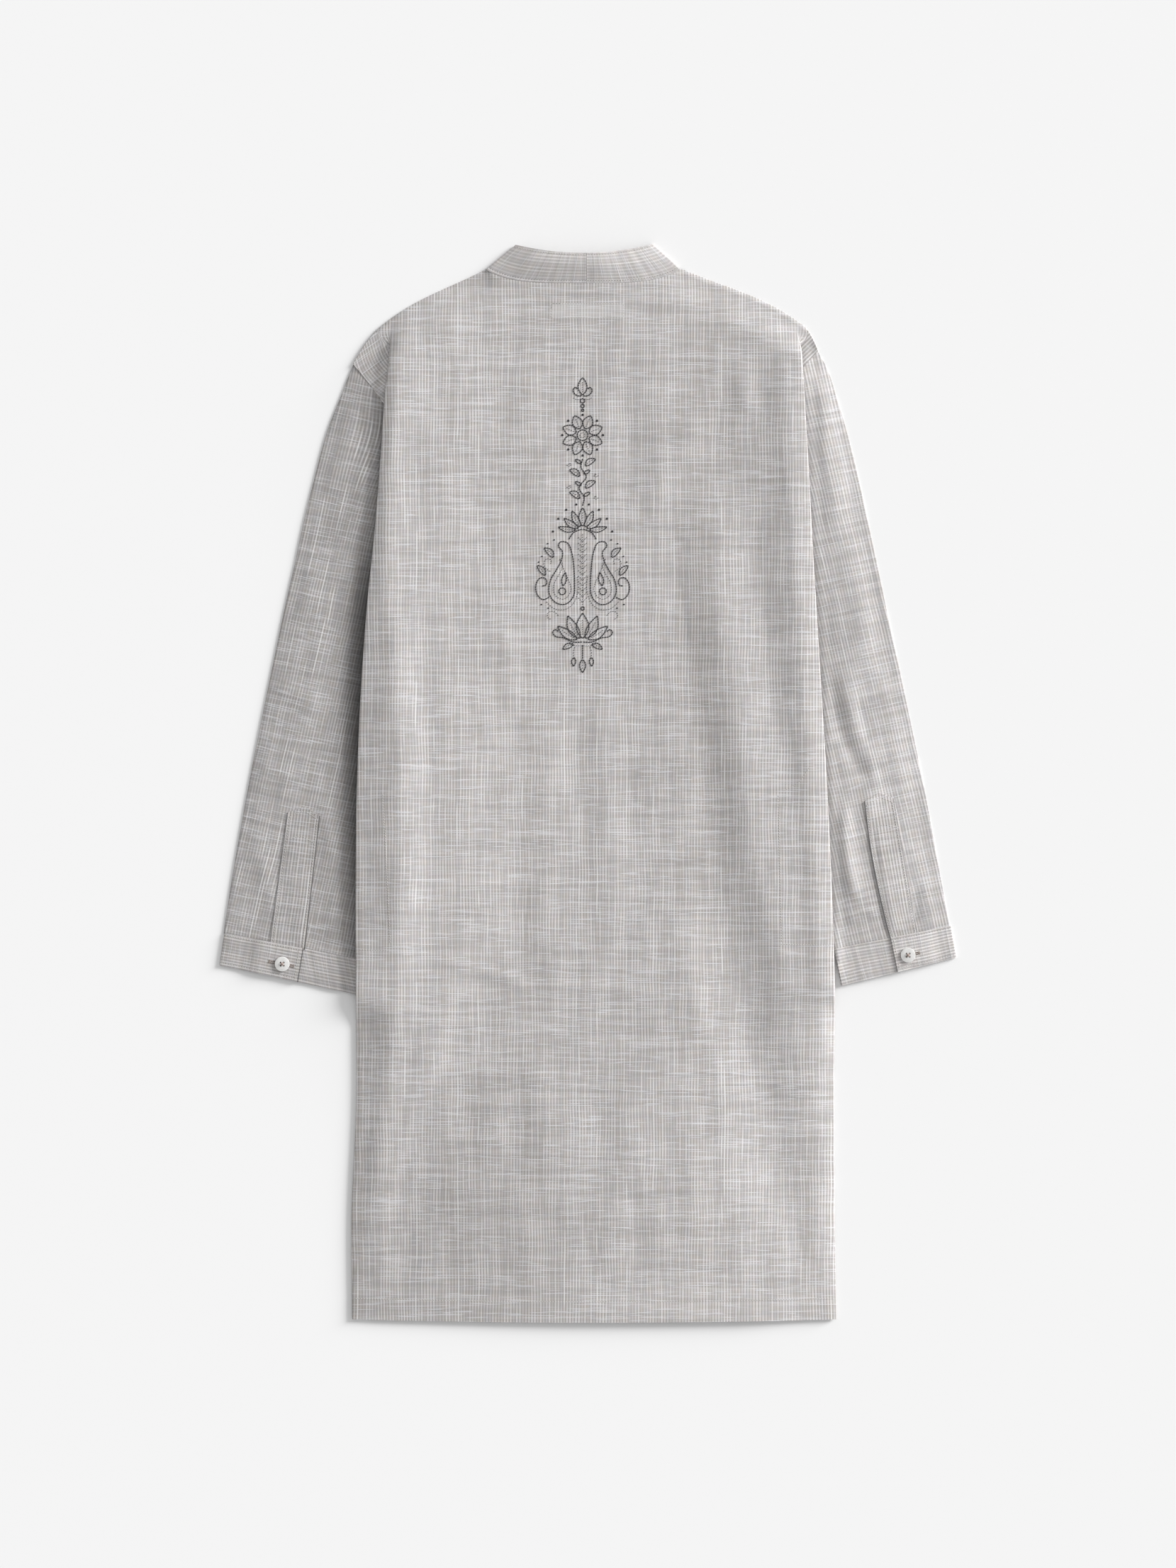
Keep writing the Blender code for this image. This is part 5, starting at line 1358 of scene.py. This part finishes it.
hem_x = np.linspace(fold_x[-1](HEM_Y) + 2.0, fold_x[1](HEM_Y) - 2.0, 240)
sew(on_back(hem_x, hem_y(hem_x) + HEM_DEPTH, CLOTH / 2 + 0.1))
for place, colour in zip(BAND_STITCHES, ("grey", "light")):
    along = np.linspace(0.004, 0.996, 500)
    sew(on_cloth(collar_grid, row_of(BAND_DOWNS, place), along, STITCH_SUNK - BAND_THICK / 2), colour)
for side in (-1, 1):
    for place in CUFF_STITCHES:
        sew(on_cloth(cuff_grids[side], row_of(CUFF_DOWNS, place), np.linspace(0.008, 0.75, 300),
                     side * (CUFF_THICK / 2 - STITCH_SUNK)))
    sew(on_cloth(cuff_grids[side], np.linspace(*row_of(CUFF_DOWNS, CUFF_STITCHES), 20), 0.018,
                 side * (CUFF_THICK / 2 + 0.02)))
    shape = SLEEVE_PLACKETS[side]
    edge = PLACKET_STITCH / abs(shape.outer_top[0] - shape.inner_top[0])
    between = np.linspace(edge, 1 - edge, 24)
    for down, across in ((np.linspace(PLACKET_FROM, PLACKET_TO, 90), edge),
                         (np.linspace(PLACKET_FROM, shape.cross, 30), 1 - edge),
                         (PLACKET_FROM, between), (shape.cross, between),
                         (np.linspace(shape.cross, PLACKET_TO, 90), 1 - edge)):
        sew(on_cloth(placket_grids[side], row_of(PLACKET_DOWNS, down), across,
                     -side * (PLACKET_THICK / 2 + 0.02)))

pocket_rows = (
    ((-193.3, -10.0), (-190.0, -80.0), (-186.6, -150.8)), ((-186.6, -158.1), (-216.0, -157.2)),
    ((179.9, -10.7), (181.0, -80.0), (183.2, -150.0)), ((182.0, -152.1), (229.0, -152.8)),
    ((184.6, -7.4), (200.0, 1.3), (209.4, 15.4)),
)
for corners in pocket_rows:
    sew_back(corners, 0.02)
left, right = (LABEL_CENTRE[0] + half * (LABEL_SIZE[0] / 2 - LABEL_STITCH) for half in (-1, 1))
low, high = (LABEL_CENTRE[1] + half * (LABEL_SIZE[1] / 2 - LABEL_STITCH) for half in (-1, 1))
sew_back(((left, low), (right, low), (right, high), (left, high), (left, low)), -0.12)
sew_back(((left, high - 5.0), (left, high), (left + 9.0, high)), -0.06, "grey", 0.3)
left, right = (NECK_CENTRE + half * (SLIT_HALF - 2.0) for half in (-1, 1))
path = resampled(((left, 405.0), (left, 90.0), (right, 90.0), (right, 405.0)), 2.0)
sew(np.column_stack([path, np.full(len(path), 0.02)]))

for colour, material in (("light", light_thread), ("grey", grey_thread)):
    stitch_mesh("stitches_" + colour, sewn[colour], THREAD, material)


# ---- The cuff buttons and their buttonholes
# Four-hole buttons of pale shell with a raised rim, sewn crosswise to the lapped end. The hole of
# the buttonhole lies under each, closed round with close stitches.
BUTTON_RADIUS, BUTTON_HEIGHT = 7.4, 2.0
BUTTON_RIM, BUTTON_SLOPE, BUTTON_DISH = 1.5, 1.3, 0.40
BUTTON_HOLE, BUTTON_HOLE_OFFSET = 0.85, 1.5
BUTTON_SHANK, BUTTON_BEVEL = 0.2, 0.3
BUTTON_SIDES, HOLE_SIDES = 64, 20
BUTTON_THREAD, THREAD_APART = 0.36, 0.32
BUTTONHOLE_FROM = {-1: -12.0, 1: -6.0}     # along the cuff, from the button's centre
BUTTONHOLE_TO = 10.5
BUTTONHOLE_OPEN, BAR_STITCHES = 0.25, 6    # half the slit's width, and the stitches of each end bar
PLACE_STEPS = 12                           # tries in which a point's place on the cuff is found
BUTTONHOLE_PITCH, BUTTONHOLE_STITCH, BUTTONHOLE_THREAD = 0.5, 1.15, 0.24


def shell_material(name):
    """Pale shell with faint clouds and a soft gloss."""
    material, add = new_material(name)
    clouds = add("TexNoise", add("UVMap", uv_map="UVMap"), None, 9.0, 3.0, 0.6)
    tone = add("MapRange", clouds, 0.3, 0.7, 0.66, 0.76)
    colour = add("CombineColor", tone, add("Math", tone, 0.993, operation="MULTIPLY"),
                 add("Math", tone, 0.975, operation="MULTIPLY"))
    return set_looks(material, colour, {"Roughness": 0.28, "Coat Weight": 0.35, "Coat Roughness": 0.15})


def cuff_place(side, x, y):
    """The shares across (from the outer edge) and down the cuff of a point on it."""
    down = 0.5
    for _ in range(PLACE_STEPS):
        outer, inner = cuff_ends(CUFFS[side], down)
        part = (x - outer[0]) / (inner[0] - outer[0])
        down = down + (mix(outer[1], inner[1], part) - y) / CUFF_DEPTH
    return part, down


def on_cuff(side, xs, ys, lift):
    """Points on the top of a lapped cuff."""
    cuff, found = CUFFS[side], []
    for x, y in zip(xs, ys):
        part, down = cuff_place(side, x, y)
        lap = mix(cuff.lap_seam, cuff.lap_hem, down)
        inset = (CUFF_THICK + CUFF_OVER - CUFF_UNDER) / 2 / CUFF_WIDTH
        across = (lap - part) / (lap - inset) * (LAP_COLUMNS - 1) / (cuff_grids[side].shape[1] - 1)
        found.append(on_cloth(cuff_grids[side], np.array([row_of(CUFF_DOWNS, down)]), across,
                              side * (CUFF_THICK / 2 + lift))[0])
    return np.array(found)


def select_only(*pieces):
    """Selects these pieces, the first of them as the active one."""
    bpy.ops.object.select_all(action="DESELECT")
    for piece in pieces:
        piece.select_set(True)
    bpy.context.view_layer.objects.active = pieces[0]


shell = shell_material("button_shell")
button_thread = plain_thread("button_thread", (0.40, 0.32, 0.29))
buttonhole_thread = plain_thread("buttonhole_thread", (0.33, 0.275, 0.245))
for side in (-1, 1):
    x, y = CUFFS[side].button
    foot = float(on_cuff(side, [x], [y], 0.0)[0][2]) + BUTTON_SHANK
    bpy.ops.mesh.primitive_cylinder_add(
        vertices=BUTTON_SIDES, radius=BUTTON_RADIUS * MM, depth=BUTTON_HEIGHT * MM,
        location=(x * MM, y * MM, (foot + BUTTON_HEIGHT / 2) * MM))
    button = bpy.context.active_object
    button.name = "shell_button_" + SHOULDERS[side].side
    for polygon in button.data.polygons:
        polygon.select = polygon.normal.z > 0.9
    bpy.ops.object.mode_set(mode="EDIT")
    bpy.ops.mesh.select_mode(type="FACE")
    bpy.ops.mesh.inset(thickness=BUTTON_RIM * MM)
    bpy.ops.mesh.inset(thickness=BUTTON_SLOPE * MM, depth=-BUTTON_DISH * MM)
    bpy.ops.mesh.select_mode(type="EDGE")
    bpy.ops.mesh.select_all(action="DESELECT")
    bpy.ops.mesh.edges_select_sharp(sharpness=math.radians(25))
    bpy.ops.mesh.bevel(offset=BUTTON_BEVEL * MM, segments=3, affect="EDGES")
    bpy.ops.object.mode_set(mode="OBJECT")
    drills = []
    for number in range(4):
        angle = math.pi / 4 + number * math.pi / 2
        reach = BUTTON_HOLE_OFFSET * math.sqrt(2)
        bpy.ops.mesh.primitive_cylinder_add(
            vertices=HOLE_SIDES, radius=BUTTON_HOLE * MM, depth=4 * BUTTON_HEIGHT * MM,
            location=((x + reach * math.cos(angle)) * MM, (y + reach * math.sin(angle)) * MM, foot * MM))
        drills.append(bpy.context.active_object)
    select_only(*drills)
    bpy.ops.object.join()
    select_only(button)
    cut = button.modifiers.new("holes", "BOOLEAN")
    cut.operation, cut.object = "DIFFERENCE", drills[0]
    bpy.ops.object.modifier_apply(modifier="holes")
    bpy.data.objects.remove(drills[0])
    bpy.ops.object.transform_apply(location=True, rotation=True, scale=True)
    bpy.ops.object.shade_smooth_by_angle(angle=math.radians(35))
    button.data.materials.append(shell)
    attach(button, "root")
    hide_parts("cuff_button_" + SHOULDERS[side].side)

    dish = foot + BUTTON_HEIGHT - BUTTON_DISH
    strands = []
    for first, second in (((-1, -1), (1, 1)), ((-1, 1), (1, -1))):
        for shift in (-THREAD_APART, THREAD_APART):
            turn = np.array((-first[1] * shift, first[0] * shift)) * (0.7 if first[1] < 0 else -0.7)
            ends = [np.array((x, y)) + np.array(end) * (BUTTON_HOLE_OFFSET + 0.15) + turn
                    for end in (first, second)]
            rise = 0.25 if first[1] < 0 else 0.6
            strands.append([[np.append(end, dish + rise)] for end in ends])
    stitch_mesh("button_cross_" + SHOULDERS[side].side, strands, BUTTON_THREAD, button_thread, rise=0.25)

    along = -side * unit(np.array(CUFFS[side].seam_inner) - np.array(CUFFS[side].seam_outer))
    across = np.array((-along[1], along[0]))
    steps = np.arange(BUTTONHOLE_FROM[side], BUTTONHOLE_TO, BUTTONHOLE_PITCH)
    edging = []
    for half in (-1, 1):
        near = np.array((x, y)) + steps[:, None] * along + half * BUTTONHOLE_OPEN * across
        far = near + half * BUTTONHOLE_STITCH * across
        edging.append((on_cuff(side, *near.T, 0.12), on_cuff(side, *far.T, 0.08)))
    for end in (BUTTONHOLE_FROM[side] - 0.2, BUTTONHOLE_TO):
        near = np.array((x, y)) + end * along + np.linspace(-1.3, 1.3, BAR_STITCHES)[:, None] * across
        far = near + 1.1 * along * math.copysign(1, end)
        edging.append((on_cuff(side, *near.T, 0.16), on_cuff(side, *far.T, 0.1)))
    stitch_mesh("buttonhole_" + SHOULDERS[side].side, edging, BUTTONHOLE_THREAD, buttonhole_thread)


# ---- The embroidery
# A long ornament down the centre of the back in charcoal chain stitch, with lines of grey running
# stitch inside: a bud, beads, a rosette, a leafy vine, two paisleys with scrolls, a lotus and tassels.
EMBROIDERY_X = -5.0
CHAIN_PITCH, CHAIN_HALF, CHAIN_THREAD = 2.3, 0.40, 0.25
RUN_PITCH, RUN_SHARE, RUN_THREAD = 2.3, 0.70, 0.26
ROSETTE = np.array((0.0, 329.0))
PLAIN, MIRRORED = (1.0, 1.0), (-1.0, 1.0)


def smooth(points, closed=False, steps=8):
    """A curve through the points."""
    points = np.array(points, dtype=float)
    count = len(points)
    found = []
    for place in range(count if closed else count - 1):
        if closed:
            a, b, c, d = (points[(place + shift) % count] for shift in (-1, 0, 1, 2))
        else:
            a, b, c, d = (points[min(max(place + shift, 0), count - 1)] for shift in (-1, 0, 1, 2))
        for t in np.arange(steps) / steps:
            found.append(0.5 * (2 * b + (c - a) * t + (2 * a - 5 * b + 4 * c - d) * t ** 2
                                + (3 * b - a - 3 * c + d) * t ** 3))
    found.append(points[0] if closed else points[-1])
    return np.array(found)


def leaf(base, tip, width, lean=0.0):
    """The outline of a pointed leaf from its base round its tip."""
    base, tip = np.array(base, dtype=float), np.array(tip, dtype=float)
    run = tip - base
    aside = unit(np.array((-run[1], run[0])))
    shares = np.linspace(0.0, 1.0, 9)
    bend = lean * np.sin(np.pi * shares) * np.linalg.norm(run)
    half = width / 2 * np.sin(np.pi * shares ** 0.85)
    spine = base + shares[:, None] * run + bend[:, None] * aside
    one, other = spine + half[:, None] * aside, spine - half[:, None] * aside
    return np.concatenate([smooth(one), smooth(other[::-1])]), smooth(spine[1:-2])


def ring_of(centre, radius):
    """A round outline."""
    angles = np.linspace(0.0, 2 * np.pi, 25)
    return np.stack([centre[0] + radius * np.cos(angles), centre[1] + radius * np.sin(angles)], axis=1)


def spiral(centre, radius, start, turns, tightness=0.75):
    """A curl that winds in from `radius`, beginning at angle `start` in degrees."""
    shares = np.linspace(0.0, 1.0, 30)
    angles = math.radians(start) + 2 * np.pi * turns * shares
    reach = radius * (1 - tightness * shares)
    return np.stack([centre[0] + reach * np.cos(angles), centre[1] + reach * np.sin(angles)], axis=1)


chains, runs = [], []


def both(lines, path, closed=False):
    """Adds a path and its mirror image."""
    path = smooth(path, closed) if len(path) < 24 else np.array(path)
    lines.append(path)
    lines.append(path * MIRRORED)


def add_leaf(base, tip, width, lean=0.0, twice=True, vein=True):
    """Adds a leaf with or without its vein, and its mirror image."""
    outline, spine = leaf(base, tip, width, lean)
    for flip in (PLAIN, MIRRORED) if twice else (PLAIN,):
        chains.append(outline * flip)
        if vein:
            runs.append(spine * flip)


# the bud
add_leaf((0, 367), (0, 384), 8.5, twice=False)
both(chains, ((0.5, 366.5), (4, 366), (8, 368.5), (9, 372.5), (6.5, 374.5), (5, 372.5)))
both(runs, ((1.5, 363.6), (5, 362.6), (9, 364.5)))
# the beads
for y, radius in ((361.5, 2.3), (356.6, 1.9), (352.6, 1.5)):
    chains.append(ring_of((0, y), radius))
# the rosette
for number in range(8):
    angle = math.radians(22.5 + 45 * number)
    direction = np.array((math.cos(angle), math.sin(angle)))
    add_leaf(direction * 6.4 + ROSETTE, direction * 20.5 + ROSETTE, 9.5, twice=False)
    tip = np.array((math.cos(angle + math.pi / 8), math.sin(angle + math.pi / 8)))
    chains.append(ring_of(tip * 19.2 + ROSETTE, 1.1))
chains.append(ring_of(ROSETTE, 5.2))
runs.append(ring_of(ROSETTE, 2.6))
# the vine
vine_y = np.linspace(307, 262, 44)
vine_share = (vine_y - 262) / 45
chains.append(np.stack([3.8 * np.sin(vine_share * 4 * np.pi) * np.sin(vine_share * np.pi), vine_y], axis=1))
for y, side in ((300.0, 1), (290.0, -1), (279.0, 1), (269.0, -1)):
    add_leaf((side * 2.6, y), (side * 13.0, y + 6.5), 5.6, lean=side * 0.12, twice=False)
    add_leaf((-side * 1.0, y + 2.4), (-side * 7.6, y + 6.4), 3.2, twice=False, vein=False)
    runs.append(spiral((-side * 12.5, y + 1.5), 2.6, 0 if side < 0 else 180, side * 1.1))
# the fan of leaves over the paisleys
add_leaf((0, 243), (0, 261), 7.0, twice=False)
add_leaf((2.0, 242.5), (10.0, 258), 6.0, lean=-0.05)
add_leaf((3.8, 241), (18.0, 251), 5.6, lean=-0.06)
add_leaf((6.5, 239.5), (23.5, 242.5), 5.0, lean=-0.06)
for x, y in ((6.0, 263.5), (15.5, 258.5), (23.0, 250.0), (28.0, 238.0)):
    both(chains, ring_of((x, y), 1.0))
# the paisleys
paisley = ((7.5, 188), (8.5, 177), (15.5, 169.5), (25, 170.5), (31.5, 179), (30.5, 191.5), (24.5, 202),
           (20, 211), (19, 219), (23, 224), (20.5, 228.5), (14, 227), (10.5, 219), (8.5, 207))
both(chains, paisley, closed=True)
inner = [((x - 18.5) * 0.66 + 18.6, (y - 188.0) * 0.68 + 187.0) for x, y in paisley[:10]]
both(runs, inner[-3:] + inner[:8])
outer = ((4.6, 196), (4.2, 182), (8.6, 170), (17, 164.2), (27, 165.2), (34.5, 172.0))
both(runs, outer)
add_leaf((35.0, 196.5), (43.6, 206.0), 5.4, lean=0.08)
for x, y in ((27.0, 230.0), (33.0, 226.5), (38.5, 214.5), (41.5, 209.0), (39.0, 169.0), (32.5, 165.5)):
    both(chains, ring_of((x, y), 0.9))
both(chains, ring_of((19.2, 181.5), 3.4))
add_leaf((18.6, 186.5), (16.2, 199.5), 4.6, vein=False)
both(chains, ((31.5, 176), (37.5, 173.5), (43, 178.5), (44.3, 187), (40.3, 194), (34.6, 193.2),
              (34.2, 187.6), (38.2, 186.6)))
both(runs, ((30, 200), (35, 203.5), (36.5, 209), (33, 212.5), (29.2, 210.4), (30.6, 206.8)))
add_leaf((27.5, 213.5), (36.5, 222.5), 5.6, lean=0.1)
both(chains, ((13, 230.5), (8.5, 237), (0.4, 240.4)))
for y in np.arange(171.0, 232.0, 5.2):
    both(runs, ((0.0, y), (3.0, y + 3.4), (4.4, y + 4.6)))
runs.append(np.array(((0.0, 236.0), (0.0, 168.0))))
# the lotus
add_leaf((0, 137), (0, 161), 12.0, twice=False)
add_leaf((2.5, 137), (14.0, 158.5), 9.5, lean=-0.06)
add_leaf((5.0, 136), (24.0, 149.0), 8.0, lean=-0.05)
both(chains, ((0.3, 133.5), (9, 133.5), (18, 137.5), (25, 138.5), (28.5, 142.5), (25.5, 145.6),
              (23.0, 143.2)))
both(runs, ((22.5, 158.0), (27.0, 162.5), (32.5, 161.5), (33.0, 156.5), (29.5, 155.2)))
both(runs, ((0.3, 130.2), (8, 130.2), (15, 133)))
chains.append(ring_of((0, 165.2), 1.9))
add_leaf((8.5, 131.5), (19.0, 126.5), 5.0, lean=0.08)
# the tassels
chains.append(np.array(((0.0, 131.0), (0.0, 117.5))))
add_leaf((0, 117.0), (0, 104.5), 6.0, twice=False)
both(runs, ((7.0, 129.5), (8.6, 124.0), (8.2, 119.5)))
add_leaf((8.2, 119.0), (8.6, 110.5), 4.2, vein=False)

chain_stitches = []
for path in chains:
    points = resampled(path + (EMBROIDERY_X, 0.0), CHAIN_PITCH)
    run = np.diff(points, axis=0)
    aside = CHAIN_HALF * unit(np.stack([-run[:, 1], run[:, 0]], axis=1))
    for half in (-1, 1):
        first, last = points[:-1] + half * aside * 0.35, points[1:] + half * aside
        chain_stitches.append((on_back(*first.T, CLOTH / 2 + 0.12), on_back(*last.T, CLOTH / 2 + 0.20)))
stitch_mesh("embroidery_chain", chain_stitches, CHAIN_THREAD,
            plain_thread("charcoal_thread", (0.048, 0.046, 0.050), 0.6), rise=0.1)
run_stitches = [[on_back(*points.T, CLOTH / 2 + 0.10)
                 for points in run_stitch(path + (EMBROIDERY_X, 0.0), RUN_PITCH, RUN_SHARE)]
                for path in runs]
stitch_mesh("embroidery_run", run_stitches, RUN_THREAD,
            plain_thread("iron_thread", (0.11, 0.108, 0.112), 0.6), rise=0.12)
